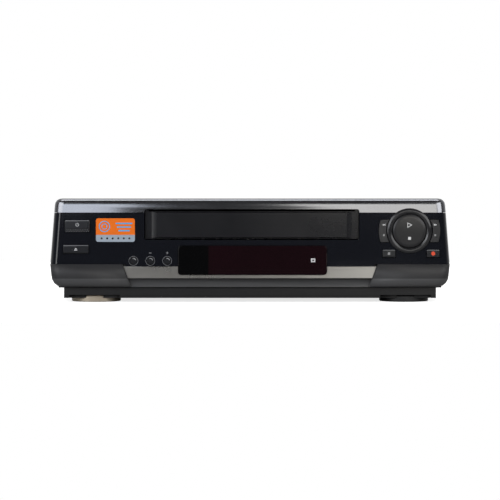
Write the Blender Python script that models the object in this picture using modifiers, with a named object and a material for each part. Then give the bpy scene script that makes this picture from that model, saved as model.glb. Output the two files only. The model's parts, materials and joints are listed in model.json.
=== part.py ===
"""A free-standing video cassette recorder, made of separate pieces.

Metres, +Z up. The front faces -Y, +X is to the right as seen from the front, and the
origin is on the floor below the middle of the recorder.
"""

from math import asin, atan2, cos, hypot, pi, radians, sin

import bmesh
import bpy
from mathutils import Matrix, Vector

# Whole recorder
WIDTH = 0.355
HEIGHT = 0.0918
DEPTH = 0.290
GAP = 0.0003
OVERRUN = 0.002
BITE = 0.0006
FRONT_Y = -DEPTH / 2

# Front moulding, a stack of plan outlines
PANEL_DEPTH = 0.024
PLINTH_TOP = 0.0135
TUCK_TOP = 0.024
WING_TOP = 0.0336
BAND_HEIGHT = 0.0125
SHOULDER_TAPER = 0.0072
TUCK_TAPER = 0.002
WING_FOOT_TAPER = 0.019
WING_TUCK = 0.004
FACE_SET_BACK = 0.002
BAND_LEAN = 0.0015
CORNER_RADIUS = 0.009
TOP_ROUND = 0.006
SKIN = 0.002
PANEL_WALL = 0.0025
STEP_DRAFT = 0.0001
CORNER_STEPS = 5
ROUND_STEPS = 4
FACE_Y = FRONT_Y + FACE_SET_BACK
PANEL_BACK_Y = FRONT_Y + PANEL_DEPTH
CORE_INSET = SKIN + GAP
CORE_Y = FACE_Y + CORE_INSET
HOLLOW_INSET = CORE_INSET + PANEL_WALL
HOLLOW_Y = CORE_Y + PANEL_WALL
ROUND_Z = HEIGHT - TOP_ROUND
BAND_FOOT = HEIGHT - BAND_HEIGHT
SHOULDER_WIDTH = WIDTH - SHOULDER_TAPER
TUCK_WIDTH = WIDTH - TUCK_TAPER
WING_FOOT_WIDTH = WIDTH - WING_FOOT_TAPER

# Recess between the wings, and the trim strip in it
RECESS_TOP_WIDTH = 0.226
RECESS_FOOT_WIDTH = 0.211
RECESS_ROUND = 0.003
TRIM_FOOT = 0.0211
TRIM_TOP = 0.0316
SILL_TOP_SET_BACK = 0.0011
SILL_FOOT_PROUD = 0.0002
SILL_TOP_Y = CORE_Y + SILL_TOP_SET_BACK
SILL_FOOT_Y = CORE_Y - SILL_FOOT_PROUD
WING_POCKET_MARGIN = 0.005

# Cassette opening, its throat and its door
SLOT_X = 0.0016
SLOT_WIDTH = 0.1902
SLOT_HEIGHT = 0.0272
SLOT_DROP = 0.0094
SLOT_TOP = HEIGHT - SLOT_DROP
SLOT_FOOT = SLOT_TOP - SLOT_HEIGHT
SLOT_ROUND = 0.002
THROAT_SIDE = 0.0005
THROAT_FLOOR_DROP = 0.0002
THROAT_WALL = 0.0022
THROAT_RUN = 0.0105
THROAT_BACK_Y = PANEL_BACK_Y + THROAT_RUN
DOOR_MARGIN = 0.0005
DOOR_SINK = 0.0034
DOOR_PLATE = 0.0022
DOOR_RAISE = 0.0026
DOOR_BEVEL = 0.004
DOOR_BORDER = 0.010
DOOR_FOOT_GAP = 0.001
DOOR_TOP_GAP = 0.0019
HINGE_RISE = 0.002
DOOR_TOP = SLOT_TOP - DOOR_TOP_GAP
HINGE_Z = SLOT_TOP + HINGE_RISE
HINGE_SET_BACK = 0.0025
HINGE_Y = CORE_Y + HINGE_SET_BACK
HINGE_EAR_RADIUS = 0.0017
HINGE_EAR_WIDTH = 0.003
HINGE_PIN_RADIUS = 0.0010
HINGE_PIN_LENGTH = 0.002

# Display window and the tube behind it
WINDOW_X = 0.00215
WINDOW_WIDTH = 0.1313
WINDOW_FOOT = 0.0245
WINDOW_DROP = 0.0052
WINDOW_TOP = SLOT_FOOT - WINDOW_DROP
WINDOW_ROUND = 0.0025
WINDOW_PROUD = 0.001
TUBE_WIDTH = 0.084
TUBE_FOOT_MARGIN = 0.0045
TUBE_TOP_MARGIN = 0.004
TUBE_FOOT = WINDOW_FOOT + TUBE_FOOT_MARGIN
TUBE_TOP = WINDOW_TOP - TUBE_TOP_MARGIN
TUBE_DEPTH = 0.008

# Front board, standing behind the buttons
BOARD = 0.0016
FRONT_BOARD_SET_BACK = 0.0141
FRONT_BOARD_Y = FRONT_Y + FRONT_BOARD_SET_BACK
FRONT_BOARD_FOOT = 0.019
FRONT_BOARD_DROP = 0.0037
FRONT_BOARD_HEADROOM = 0.0098
FRONT_BOARD_MARGIN = 0.0105
FRONT_BOARD_LOW_TOP = SLOT_FOOT - FRONT_BOARD_DROP
FRONT_BOARD_HIGH_TOP = HEIGHT - FRONT_BOARD_HEADROOM
FRONT_BOARD_WIDTH = WIDTH - FRONT_BOARD_MARGIN * 2
POST_RADIUS = 0.003
FRONT_POST_FOOT_Z = 0.023

# Push buttons
PROUD = 0.0013
EDGE_CHAMFER = 0.0006
FLANGE_MARGIN = 0.0008
FLANGE = 0.0012
BUTTON_TRAVEL = 0.001
STEM_RADIUS = 0.0022
SEGMENTS = 20
POWER_INSET = 0.02485
POWER_X = POWER_INSET - WIDTH / 2
POWER_WIDTH = 0.0219
POWER_DROP = 0.0068
POWER_FACE = 0.0068
POWER_SKIRT = 0.0037
POWER_TOP = BAND_FOOT - POWER_DROP
POWER_LEDGE = POWER_TOP - POWER_FACE
POWER_FOOT = POWER_LEDGE - POWER_SKIRT
EJECT_INSET = 0.0235
EJECT_X = EJECT_INSET - WIDTH / 2
EJECT_WIDTH = 0.0224
EJECT_RISE = 0.0094
EJECT_SKIRT = 0.0012
EJECT_FACE = 0.0064
EJECT_FOOT = WING_TOP + EJECT_RISE
EJECT_LEDGE = EJECT_FOOT + EJECT_SKIRT
EJECT_TOP = EJECT_LEDGE + EJECT_FACE
ROUND_BUTTON_X = -0.0882
ROUND_BUTTON_PITCH = 0.01495
ROUND_BUTTON_RISE = 0.0031
ROUND_BUTTON_Z = WING_TOP + ROUND_BUTTON_RISE
ROUND_BUTTON_RADIUS = 0.0035
SMALL_KEY_WIDTH = 0.0111
SMALL_KEY_RISE = 0.0059
SMALL_KEY_SKIRT = 0.001
SMALL_KEY_FACE = 0.006
SMALL_KEY_FOOT = WING_TOP + SMALL_KEY_RISE
SMALL_KEY_LEDGE = SMALL_KEY_FOOT + SMALL_KEY_SKIRT
SMALL_KEY_TOP = SMALL_KEY_LEDGE + SMALL_KEY_FACE

# Dial: a fixed ring, a rocker disc in it and a curved rocker on each side
DIAL_INSET = 0.0365
DIAL_DROP = 0.0286
PAUSE_OFFSET = 0.01815
RECORD_OFFSET = 0.02095
DIAL_X = WIDTH / 2 - DIAL_INSET
DIAL_Z = HEIGHT - DIAL_DROP
PAUSE_X = DIAL_X - PAUSE_OFFSET
RECORD_X = DIAL_X + RECORD_OFFSET
RING_RADIUS = 0.01975
DISC_RADIUS = 0.015
RING_HEIGHT = 0.0018
RING_BORE_GAP = 0.0005
DISC_PROUD = 0.0012
ROCK_GAP = 0.0013
SIDE_KEY_INNER_RADIUS = 0.0207
SIDE_KEY_OUTER_RADIUS = 0.0272
SIDE_KEY_HEIGHT = 0.0197
SIDE_KEY_PROUD = 0.0009
SIDE_KEY_STEPS = 6

# Chassis, cover, back and feet

CHASSIS_INSET = 0.0125
CHASSIS_WIDTH = WIDTH - CHASSIS_INSET * 2
CHASSIS_FOOT = 0.0036
CHASSIS_WALL = 0.0025
PLINTH_SET_BACK = 0.0065
PLINTH_Y = FRONT_Y + PLINTH_SET_BACK
RIM_FOOT = 0.0120
RIM_TOP = 0.024
COVER_WALL = 0.001
COVER_INSET = 0.006
COVER_DROP = 0.0013
COVER_WIDTH = WIDTH - COVER_INSET * 2
COVER_TOP = HEIGHT - COVER_DROP
COVER_FOOT = 0.0148
COVER_BEND = 0.006
COVER_LIP = 0.0015
BACK_WALL = 0.0025
BACK_SET_IN = 0.008
BACK_FOOT = 0.004
VENT_LENGTH = 0.034
VENT_WIDTH = 0.0026
VENT_PITCH = 0.006
VENT_COUNT = 9
VENT_INSET = 0.0595
VENT_SET_IN = 0.065
VENT_X = VENT_INSET - WIDTH / 2
VENT_Y = DEPTH / 2 - VENT_SET_IN
FOOT_RADIUS = 0.022
FOOT_HEIGHT = 0.006
FOOT_INSET = 0.0395
FOOT_SET_BACK = 0.030
FOOT_X = WIDTH / 2 - FOOT_INSET
FOOT_Y = FRONT_Y + FOOT_SET_BACK
REAR_FOOT_RADIUS = 0.015
REAR_FOOT_SET_IN = 0.040
REAR_FOOT_Y = DEPTH / 2 - REAR_FOOT_SET_IN
FOOT_WELL_MARGIN = 0.003
FOOT_LIP = 0.0012
FOOT_DISH = 0.002
CHASSIS_FLOOR_TOP = CHASSIS_FOOT + CHASSIS_WALL
BACK_Y = DEPTH / 2 - BACK_SET_IN
CASE_FRONT_Y = PANEL_BACK_Y + GAP

# Boards and what stands on them
BOARD_Z = 0.0095
BOARD_POST = 0.003
MAIN_BOARD_X = 0.0035
MAIN_BOARD_WIDTH = 0.205
MAIN_BOARD_SET_BACK = 0.060
MAIN_BOARD_SET_IN = 0.013
POWER_BOARD_INSET = 0.0435
POWER_BOARD_WIDTH = 0.054
POWER_BOARD_SET_BACK = 0.100
TRANSFORMER_SET_IN = 0.085
MAIN_BOARD_FRONT = FRONT_Y + MAIN_BOARD_SET_BACK
MAIN_BOARD_BACK = DEPTH / 2 - MAIN_BOARD_SET_IN
POWER_BOARD_X = POWER_BOARD_INSET - WIDTH / 2
POWER_BOARD_FRONT = FRONT_Y + POWER_BOARD_SET_BACK
TRANSFORMER_Y = DEPTH / 2 - TRANSFORMER_SET_IN
TRANSFORMER_WIDTH = 0.036
TRANSFORMER_DEPTH = 0.032
TRANSFORMER_HEIGHT = 0.034
TRANSFORMER_LIMB = 0.006
CAPACITOR_SET_IN = 0.130
CAPACITOR_Y = DEPTH / 2 - CAPACITOR_SET_IN
CAPACITOR_RADIUS = 0.011
CAPACITOR_HEIGHT = 0.032
SINK_SET_IN = 0.163
SINK_Y = DEPTH / 2 - SINK_SET_IN
SINK_WIDTH = 0.040
SINK_HEIGHT = 0.036
SINK_WALL = 0.003
FIN_COUNT = 5
FIN_DEPTH = 0.010

# Sockets on the back, seen from the front: x to the right
SCART_X = 0.030
SCART_Z = 0.030
SCART_WIDTH = 0.0465
SCART_SPACING = 0.0055
SCART_PITCH = SCART_WIDTH + SCART_SPACING
SCART_HEIGHT = 0.0165
SCART_SLANT = 0.006
SCART_DEPTH = 0.016
SCART_WALL = 0.0016
SCART_PROUD = 0.0025
SCART_FLANGE = 0.0025
SCART_TONGUE = 0.0034
TUNER_INSET = 0.0375
TUNER_X = WIDTH / 2 - TUNER_INSET
TUNER_WIDTH = 0.038
TUNER_FOOT = 0.030
TUNER_HEIGHT = 0.048
TUNER_DEPTH = 0.060
COAX_RADIUS = 0.0048
COAX_BORE = 0.0022
COAX_PITCH = 0.022
PHONO_X = -0.020
PHONO_Z = 0.030
PHONO_PITCH = 0.014
PHONO_COUNT = 3
PHONO_RADIUS = 0.0042
PHONO_BORE = 0.0018
PHONO_BLOCK_DEPTH = 0.012
INLET_INSET = 0.0455
INLET_X = INLET_INSET - WIDTH / 2
INLET_Z = 0.027
INLET_WIDTH = 0.020
INLET_HEIGHT = 0.011
INLET_WALL = 0.0015
INLET_DEPTH = 0.018
INLET_FLANGE = 0.002
INLET_PIN_RADIUS = 0.0012
INLET_PIN_PITCH = 0.0086

# Tape deck, with the head drum, the tape path and the reels

DECK_Z = 0.021
DECK_WALL = 0.0015
DECK_WIDTH = 0.222
DECK_FRONT = -0.100
DECK_BACK = 0.112
DECK_INSET = 0.006
DECK_TOP = DECK_Z + DECK_WALL
PIN_RADIUS = 0.0015
PIN_HEIGHT = 0.007
TAPE_TOP = 0.0575
DRUM_X = -0.006
DRUM_Y = 0.066
DRUM_RADIUS = 0.031
DRUM_TILT = radians(5)
DRUM_SPLIT = 0.0405
DRUM_BASE_HEIGHT = 0.0135
DRUM_ROTOR_HEIGHT = 0.019
DRUM_FOOT_RADIUS = 0.024
DRUM_HUB_RADIUS = 0.010
GUIDE_START = (0.026, -0.042)
GUIDE_END = (0.044, 0.018)
GUIDE_RADIUS = 0.0034
GUIDE_BASE = 0.005
GUIDE_SLOT = 0.0042
ROLLER_RADIUS = 0.0028
CAPSTAN_X = 0.066
CAPSTAN_Y = 0.038
CAPSTAN_HOUSING = 0.004
CAPSTAN_FLANGE = 0.012
HOUSING_TOP = 0.034
FLYWHEEL_RADIUS = 0.020
FLYWHEEL_FOOT = 0.0130
FLYWHEEL_HEIGHT = 0.0055
PINCH_X = 0.084
PINCH_Y = 0.058
PINCH_ARM = 0.018
PINCH_REST = radians(-60)
PINCH_ROLLER_RADIUS = 0.008
PINCH_ROLLER_FOOT = 0.035
ARM_WALL = 0.002
ARM_RADIUS = 0.0045
REEL_PITCH = 0.092
REEL_Y = -0.020
REEL_RADIUS = 0.018
REEL_HUB_RADIUS = 0.0095
REEL_SPINDLE_RADIUS = 0.0045
REEL_TABLE_TOP = 0.027
REEL_HUB_TOP = 0.031
REEL_TOP = 0.044
TENSION_X = -0.066
TENSION_Y = 0.010
TENSION_ARM = 0.022
TENSION_REST = radians(20)
ERASE_X = -0.072
ERASE_Y = 0.060
AUDIO_X = 0.052
AUDIO_Y = 0.064
HEAD_WIDTH = 0.010
HEAD_DEPTH = 0.008
HEAD_FOOT = 0.038

# Cassette lift: brackets, carriage, basket and the drive

CASSETTE_WIDTH = 0.188
CASSETTE_HEIGHT = 0.025
CASSETTE_ROOM = 0.0005
BASKET_WALL = 0.001
BASKET_FRONT = -0.108
BASKET_LENGTH = 0.102
BASKET_LEDGE = 0.020
BASKET_STEP = 0.0001
BASKET_FLOOR = SLOT_FOOT + BASKET_STEP
BASKET_HEADROOM = 0.0019
LIFT_TRAVEL = 0.022
SLIDE_TRAVEL = 0.036
LIFT_PIN_Z = 0.078
LIFT_PIN_INSET = 0.018
LIFT_PIN_RADIUS = 0.0012
SIDE_WALL = 0.0012
SIDE_RUN = 0.002
SIDE_MARGIN = 0.013
CARRIAGE_FOOT = 0.050
CARRIAGE_TOP = 0.083
BRIDGE_Z = 0.0842
BRIDGE_DEPTH = 0.020
SLIDE_PIN_Z = 0.070
SLIDE_PIN_PITCH = 0.035
BRACKET_RUN = 0.001
BRACKET_WALL = 0.0015
BRACKET_TOP = 0.080
BRACKET_FOOT_WIDTH = 0.005
BRACKET_BACK = 0.034
GEAR_MODULE = 0.001
GEAR_TEETH = 16
GEAR_Y = -0.040
TOOTH_SHARE = 0.40
TIP_SHARE = 0.22
ADDENDUM_SHARE = 0.9
DEDENDUM_SHARE = 1.25
ROOT_FLARE_SHARE = 1.15
GEAR_SHAFT = 0.002
GEAR_PULLEY_RADIUS = 0.011
PULLEY_GROOVE = 0.001
PULLEY_WIDTH = 0.004
PULLEY_RUN = 0.0015
MOTOR_PULLEY_RADIUS = 0.003
MOTOR_Y = -0.004
MOTOR_Z = 0.034
MOTOR_RADIUS = 0.009
MOTOR_LENGTH = 0.024
MOTOR_BOSS = 0.003
BELT = 0.001
BASKET_ROOF = BASKET_FLOOR + CASSETTE_HEIGHT + BASKET_HEADROOM
BASKET_HALF = CASSETTE_WIDTH / 2 + CASSETTE_ROOM
BASKET_OUTER = BASKET_HALF + BASKET_WALL
SIDE_IN = BASKET_OUTER + SIDE_RUN
SIDE_OUT = SIDE_IN + SIDE_WALL
BRACKET_IN = SIDE_OUT + BRACKET_RUN
BRACKET_OUT = BRACKET_IN + BRACKET_WALL
BASKET_BACK = BASKET_FRONT + BASKET_LENGTH
CARRIAGE_FRONT = BASKET_FRONT + SIDE_MARGIN
CARRIAGE_BACK = BASKET_BACK - SIDE_MARGIN
PITCH_RADIUS = GEAR_MODULE * GEAR_TEETH / 2
RACK_PITCH_Z = CARRIAGE_FOOT + ADDENDUM_SHARE * GEAR_MODULE
GEAR_Z = RACK_PITCH_Z - PITCH_RADIUS

# Scene and shared tools

SHARP_ANGLE = radians(35)
FLAT_ANGLE = radians(0.01)


def clear_scene():
    for old in list(bpy.data.objects):
        bpy.data.objects.remove(old, do_unlink=True)


def new_collection(name, hidden):
    made = bpy.data.collections.new(name)
    bpy.context.scene.collection.children.link(made)
    made.hide_render = hidden
    return made


clear_scene()
PARTS = new_collection("video_cassette_recorder", False)
CUTTERS = new_collection("cutters", True)


def finish(name, colour, roughness, metallic):
    """A plain Principled BSDF material."""
    made = bpy.data.materials.new(name)
    made.use_nodes = True
    shader = made.node_tree.nodes["Principled BSDF"]
    shader.inputs["Base Color"].default_value = (*colour, 1)
    shader.inputs["Roughness"].default_value = roughness
    shader.inputs["Metallic"].default_value = metallic
    return made


def add_object(name, mesh):
    """A new object, kept as a helper until it is made a part."""
    made = bpy.data.objects.new(name, mesh)
    CUTTERS.objects.link(made)
    made.hide_render = True
    made.display_type = "WIRE"
    return made


def from_bmesh(name, shape):
    bmesh.ops.recalc_face_normals(shape, faces=shape.faces)
    mesh = bpy.data.meshes.new(name)
    shape.to_mesh(mesh)
    shape.free()
    return add_object(name, mesh)


def block(name, low, high):
    """A box between two corners."""
    low = Vector(low)
    high = Vector(high)
    shape = bmesh.new()
    bmesh.ops.create_cube(shape, size=1)
    size = high - low
    bmesh.ops.scale(shape, vec=size, verts=shape.verts)
    bmesh.ops.translate(shape, vec=(low + high) / 2, verts=shape.verts)
    return from_bmesh(name, shape)


def rod(name, start, end, radius, end_radius=None, segments=SEGMENTS):
    """A cylinder or cone from one point to another."""
    start = Vector(start)
    along = Vector(end) - start
    shape = bmesh.new()
    bmesh.ops.create_cone(
        shape,
        cap_ends=True,
        segments=segments,
        radius1=radius,
        radius2=radius if end_radius is None else end_radius,
        depth=along.length,
    )
    turn = along.to_track_quat("Z", "Y").to_matrix().to_4x4()
    bmesh.ops.transform(shape, matrix=Matrix.Translation(start + along / 2) @ turn, verts=shape.verts)
    return from_bmesh(name, shape)


AXES = {
    "X": Matrix(((0, 0, 1, 0), (1, 0, 0, 0), (0, 1, 0, 0), (0, 0, 0, 1))),
    "Y": Matrix(((1, 0, 0, 0), (0, 0, 1, 0), (0, 1, 0, 0), (0, 0, 0, 1))),
    "Z": Matrix.Identity(4),
}


def sheet(name, outlines, axis, start, end):
    """A flat outline with its holes, extruded from start to end along an axis.

    An outline's points are (y, z) along X, (x, z) along Y and (x, y) along Z.
    """
    curve = bpy.data.curves.new(name, "CURVE")
    curve.dimensions = "2D"
    curve.fill_mode = "BOTH"
    curve.extrude = abs(end - start) / 2
    for points in outlines:
        spline = curve.splines.new("POLY")
        spline.points.add(len(points) - 1)
        for place, (across, up) in zip(spline.points, points):
            place.co = (across, up, 0, 1)
        spline.use_cyclic_u = True
    drawn = bpy.data.objects.new(name, curve)
    CUTTERS.objects.link(drawn)
    bpy.context.view_layer.update()
    graph = bpy.context.evaluated_depsgraph_get()
    mesh = bpy.data.meshes.new_from_object(drawn.evaluated_get(graph))
    bpy.data.objects.remove(drawn, do_unlink=True)
    shape = bmesh.new()
    shape.from_mesh(mesh)
    bpy.data.meshes.remove(mesh)
    bmesh.ops.remove_doubles(shape, verts=shape.verts, dist=GAP / 30)
    bmesh.ops.dissolve_limit(shape, angle_limit=FLAT_ANGLE, verts=shape.verts, edges=shape.edges)
    middle = Matrix.Translation((0, 0, (start + end) / 2))
    bmesh.ops.transform(shape, matrix=AXES[axis] @ middle, verts=shape.verts)
    return from_bmesh(name, shape)


def loft(name, rings):
    """A closed solid through a stack of rings with the same number of points."""
    shape = bmesh.new()
    rows = [[shape.verts.new(point) for point in ring] for ring in rings]
    count = len(rows[0])
    for lower, upper in zip(rows, rows[1:]):
        for here in range(count):
            after = (here + 1) % count
            shape.faces.new((lower[here], lower[after], upper[after], upper[here]))
    shape.faces.new(rows[0][::-1])
    shape.faces.new(rows[-1])
    bmesh.ops.remove_doubles(shape, verts=shape.verts, dist=GAP / 30)
    bmesh.ops.triangulate(shape, faces=shape.faces)
    return from_bmesh(name, shape)


def turned(name, profile, base, direction, segments=SEGMENTS):
    """A profile of (radius, height) points, top to bottom, turned about its axis."""
    shape = bmesh.new()
    points = [shape.verts.new((radius, 0, height)) for radius, height in profile]
    for first, second in zip(points, points[1:]):
        shape.edges.new((first, second))
    if profile[0][0] > 0:
        shape.edges.new((points[-1], points[0]))
    mesh = bpy.data.meshes.new(name)
    shape.to_mesh(mesh)
    shape.free()
    made = add_object(name, mesh)
    made.location = base
    made.rotation_euler = Vector(direction).to_track_quat("Z", "Y").to_euler()
    screw = made.modifiers.new("turn", "SCREW")
    screw.steps = segments
    screw.render_steps = segments
    screw.use_merge_vertices = True
    screw.merge_threshold = GAP / 30
    screw.use_normal_calculate = False
    return made


def boolean(target, tool, operation, solver="EXACT"):
    change = target.modifiers.new(operation.lower(), "BOOLEAN")
    change.operation = operation
    change.solver = solver
    change.object = tool


def cut(target, *tools):
    for tool in tools:
        boolean(target, tool, "DIFFERENCE")


def join(target, *tools):
    for tool in tools:
        boolean(target, tool, "UNION")


def make_part(target, name, material, pivot=None):
    """Turns a helper into a part of the recorder, with its origin at its pivot."""
    CUTTERS.objects.unlink(target)
    PARTS.objects.link(target)
    target.name = name
    target.hide_render = False
    target.display_type = "TEXTURED"
    target.data.materials.append(material)
    if pivot is not None:
        target.data.transform(Matrix.Translation(-Vector(pivot)))
        target.location = pivot
    target.data.shade_smooth()
    target.data.set_sharp_from_angle(angle=SHARP_ANGLE)
    return target


def rectangle(left, low, right, high):
    return [(left, low), (right, low), (right, high), (left, high)]


def arc(centre, radius, start, end, steps):
    """Points on an arc about a centre, from one angle in degrees to another."""
    points = []
    for step in range(steps + 1):
        angle = radians(start + (end - start) * step / steps)
        points.append((centre[0] + radius * cos(angle), centre[1] + radius * sin(angle)))
    return points


def rounded(left, low, right, high, radius, steps=3):
    """A rectangle with round corners."""
    corners = (
        (left + radius, low + radius, 180),
        (right - radius, low + radius, 270),
        (right - radius, high - radius, 0),
        (left + radius, high - radius, 90),
    )
    points = []
    for across, up, angle in corners:
        points += arc((across, up), radius, angle, angle + 90, steps)
    return points


# Finishes

GLOSS_BLACK = finish("gloss_black", (0.010, 0.011, 0.016), 0.12, 0)
SATIN_SILVER = finish("satin_silver", (0.36, 0.36, 0.42), 0.35, 0.8)
WING_GREY = finish("wing_grey", (0.045, 0.046, 0.048), 0.5, 0)
CHAMPAGNE = finish("champagne", (0.32, 0.30, 0.27), 0.4, 0.7)
SMOKED = finish("smoked_window", (0.008, 0.003, 0.006), 0.05, 0)
DOOR_BLACK = finish("door_black", (0.013, 0.014, 0.018), 0.4, 0)
KEY_BLACK = finish("key_black", (0.02, 0.021, 0.024), 0.35, 0)
RING_GREY = finish("ring_grey", (0.06, 0.06, 0.065), 0.3, 0.5)
COVER_BLACK = finish("cover_black", (0.02, 0.02, 0.021), 0.6, 0.2)
CHASSIS_BLACK = finish("chassis_black", (0.025, 0.025, 0.027), 0.55, 0)
FOOT_CHAMPAGNE = finish("foot_champagne", (0.19, 0.17, 0.13), 0.35, 0.7)
FOOT_BLACK = finish("foot_black", (0.012, 0.012, 0.013), 0.55, 0)
ZINC = finish("zinc_plate", (0.55, 0.55, 0.53), 0.35, 1)
STEEL = finish("polished_steel", (0.7, 0.7, 0.7), 0.15, 1)
BOARD_BROWN = finish("board_brown", (0.30, 0.18, 0.07), 0.6, 0)
CONNECTOR_BLACK = finish("connector_black", (0.015, 0.015, 0.015), 0.5, 0)
IVORY = finish("ivory_plastic", (0.75, 0.72, 0.62), 0.5, 0)
RUBBER = finish("rubber", (0.012, 0.012, 0.012), 0.8, 0)
GREY_PLASTIC = finish("grey_plastic", (0.12, 0.12, 0.12), 0.5, 0)
TUBE_GLASS = finish("tube_glass", (0.02, 0.05, 0.05), 0.1, 0)
ALUMINIUM = finish("aluminium", (0.6, 0.6, 0.6), 0.4, 1)
CAPACITOR_BLUE = finish("capacitor_sleeve", (0.02, 0.03, 0.08), 0.4, 0)
COPPER = finish("laminated_core", (0.18, 0.12, 0.09), 0.5, 0.5)


# Front moulding


def half_width(z):
    """Half the front's width at a height above the wings."""
    taper = (WIDTH - SHOULDER_WIDTH) / 2 / (BAND_FOOT - WING_TOP)
    return WIDTH / 2 - taper * (z - WING_TOP)


def face_y(z):
    """The front face at a height above the wings: flat, then leaning back in the band."""
    lean = BAND_LEAN * max(z - BAND_FOOT, 0) / (HEIGHT - BAND_FOOT)
    return FACE_Y + lean


def upper_levels(foot, inset):
    """(height, half width, front, corner radius) from a height up over the round top."""
    levels = []
    for z in (foot, BAND_FOOT, ROUND_Z):
        if not levels or z > levels[-1][0]:
            levels.append((z, half_width(z) - inset, face_y(z) + inset, CORNER_RADIUS - inset))
    half, front, corner = levels[-1][1:]
    radius = TOP_ROUND - inset
    for step in range(1, ROUND_STEPS + 1):
        turn = pi / 2 * step / ROUND_STEPS
        drawn_in = radius * (1 - cos(turn))
        levels.append((ROUND_Z + radius * sin(turn), half - drawn_in, front + drawn_in, corner - drawn_in))
    return levels


def lower_levels(inset, foot):
    """The same from a foot height up to the wings' top, round where the wings tuck in."""
    levels = []
    drop = TUCK_TOP - PLINTH_TOP - inset
    for step in range(ROUND_STEPS + 1):
        turn = pi / 2 * (1 - step / ROUND_STEPS)
        half = WING_FOOT_WIDTH / 2 + (TUCK_WIDTH - WING_FOOT_WIDTH) / 2 * cos(turn)
        front = FRONT_Y + WING_TUCK * (1 - cos(turn))
        levels.append((TUCK_TOP - drop * sin(turn), half - inset, front + inset, CORNER_RADIUS - inset))
    levels.append((foot, WIDTH / 2 - inset, FRONT_Y + inset, CORNER_RADIUS - inset))
    return levels


def moulding(name, levels, back_y):
    """A solid through plan outlines: open at the back corners, round at the front ones."""
    rings = []
    for z, half, front, corner in levels:
        right = arc((half - corner, front + corner), corner, 0, -90, CORNER_STEPS)
        left = [(-x, y) for x, y in reversed(right)]
        outline = [(half, back_y)] + right + left + [(-half, back_y)]
        rings.append([(x, y, z) for x, y in outline])
    return loft(name, rings)


def slot_hole(name, margin, depth_start, depth_end):
    """A cutter for the cassette opening, larger by a margin."""
    half = SLOT_WIDTH / 2 + margin
    outline = rounded(SLOT_X - half, SLOT_FOOT - margin, SLOT_X + half, SLOT_TOP + margin, SLOT_ROUND)
    return sheet(name, [outline], "Y", depth_start, depth_end)


def window_hole(name, margin, depth_start, depth_end):
    half = WINDOW_WIDTH / 2 + margin
    outline = rounded(
        WINDOW_X - half, WINDOW_FOOT - margin, WINDOW_X + half, WINDOW_TOP + margin, WINDOW_ROUND + margin
    )
    return sheet(name, [outline], "Y", depth_start, depth_end)


def dial_hole(name, radius, depth_start, depth_end):
    return rod(name, (DIAL_X, depth_start, DIAL_Z), (DIAL_X, depth_end, DIAL_Z), radius, segments=36)


def side_key_outline(side, margin, lips=0.0):
    """A curved key beside the dial, between two arcs about the dial's centre."""
    inner = SIDE_KEY_INNER_RADIUS - margin
    outer = SIDE_KEY_OUTER_RADIUS + margin
    half = SIDE_KEY_HEIGHT / 2 + margin + lips
    outer_angle = asin(half / outer) * 180 / pi
    inner_angle = asin(half / inner) * 180 / pi
    points = arc((0, 0), outer, -outer_angle, outer_angle, SIDE_KEY_STEPS)
    points += arc((0, 0), inner, inner_angle, -inner_angle, SIDE_KEY_STEPS)
    return [(DIAL_X + side * x, DIAL_Z + z) for x, z in points]


RECTANGULAR_KEYS = {
    "power_button": (POWER_X, POWER_WIDTH, POWER_TOP, POWER_LEDGE, POWER_FOOT),
    "eject_button": (EJECT_X, EJECT_WIDTH, EJECT_TOP, EJECT_LEDGE, EJECT_FOOT),
    "pause_button": (PAUSE_X, SMALL_KEY_WIDTH, SMALL_KEY_TOP, SMALL_KEY_LEDGE, SMALL_KEY_FOOT),
    "record_button": (RECORD_X, SMALL_KEY_WIDTH, SMALL_KEY_TOP, SMALL_KEY_LEDGE, SMALL_KEY_FOOT),
}
ROUND_KEYS = {
    "setup_button": ROUND_BUTTON_X - ROUND_BUTTON_PITCH,
    "program_down_button": ROUND_BUTTON_X,
    "program_up_button": ROUND_BUTTON_X + ROUND_BUTTON_PITCH,
}
SIDE_KEYS = {"rewind_button": -1, "forward_button": 1}


def key_holes(start, end):
    """Cutters for every key, from one depth to another."""
    tools = []
    for name, (x, width, top, _, foot) in RECTANGULAR_KEYS.items():
        half = width / 2 + GAP
        low = (x - half, start, foot - GAP)
        tools.append(block(name + "_hole", low, (x + half, end, top + GAP)))
    for name, x in ROUND_KEYS.items():
        hole = ROUND_BUTTON_RADIUS + GAP
        tools.append(rod(name + "_hole", (x, start, ROUND_BUTTON_Z), (x, end, ROUND_BUTTON_Z), hole))
    for name, side in SIDE_KEYS.items():
        tools.append(sheet(name + "_hole", [side_key_outline(side, GAP)], "Y", start, end))
    return tools


def make_face_plate():
    foot = WING_TOP + GAP
    top = BAND_FOOT - GAP / 2
    outer = [(z, half_width(z), FACE_Y, CORNER_RADIUS) for z in (foot, top)]
    inner = [
        (z, half_width(z) - SKIN, FACE_Y + SKIN, CORNER_RADIUS - SKIN)
        for z in (foot - OVERRUN, top + OVERRUN)
    ]
    plate = moulding("face_plate", outer, PANEL_BACK_Y)
    cut(plate, moulding("face_inside", inner, PANEL_BACK_Y + OVERRUN))
    half = RECESS_TOP_WIDTH / 2 - RECESS_ROUND
    tongue_foot = TRIM_TOP + GAP
    join(plate, block("face_tongue", (-half, FACE_Y, tongue_foot), (half, FACE_Y + SKIN, foot + BITE)))
    start = FACE_Y - OVERRUN
    end = FACE_Y + SKIN + OVERRUN
    cut(plate, slot_hole("face_slot", 0, start, end))
    cut(plate, window_hole("face_window", GAP, start, end))
    cut(plate, dial_hole("face_dial", RING_RADIUS + GAP, start, end))
    cut(plate, *key_holes(start, end))
    make_part(plate, "face_plate", GLOSS_BLACK)


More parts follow.
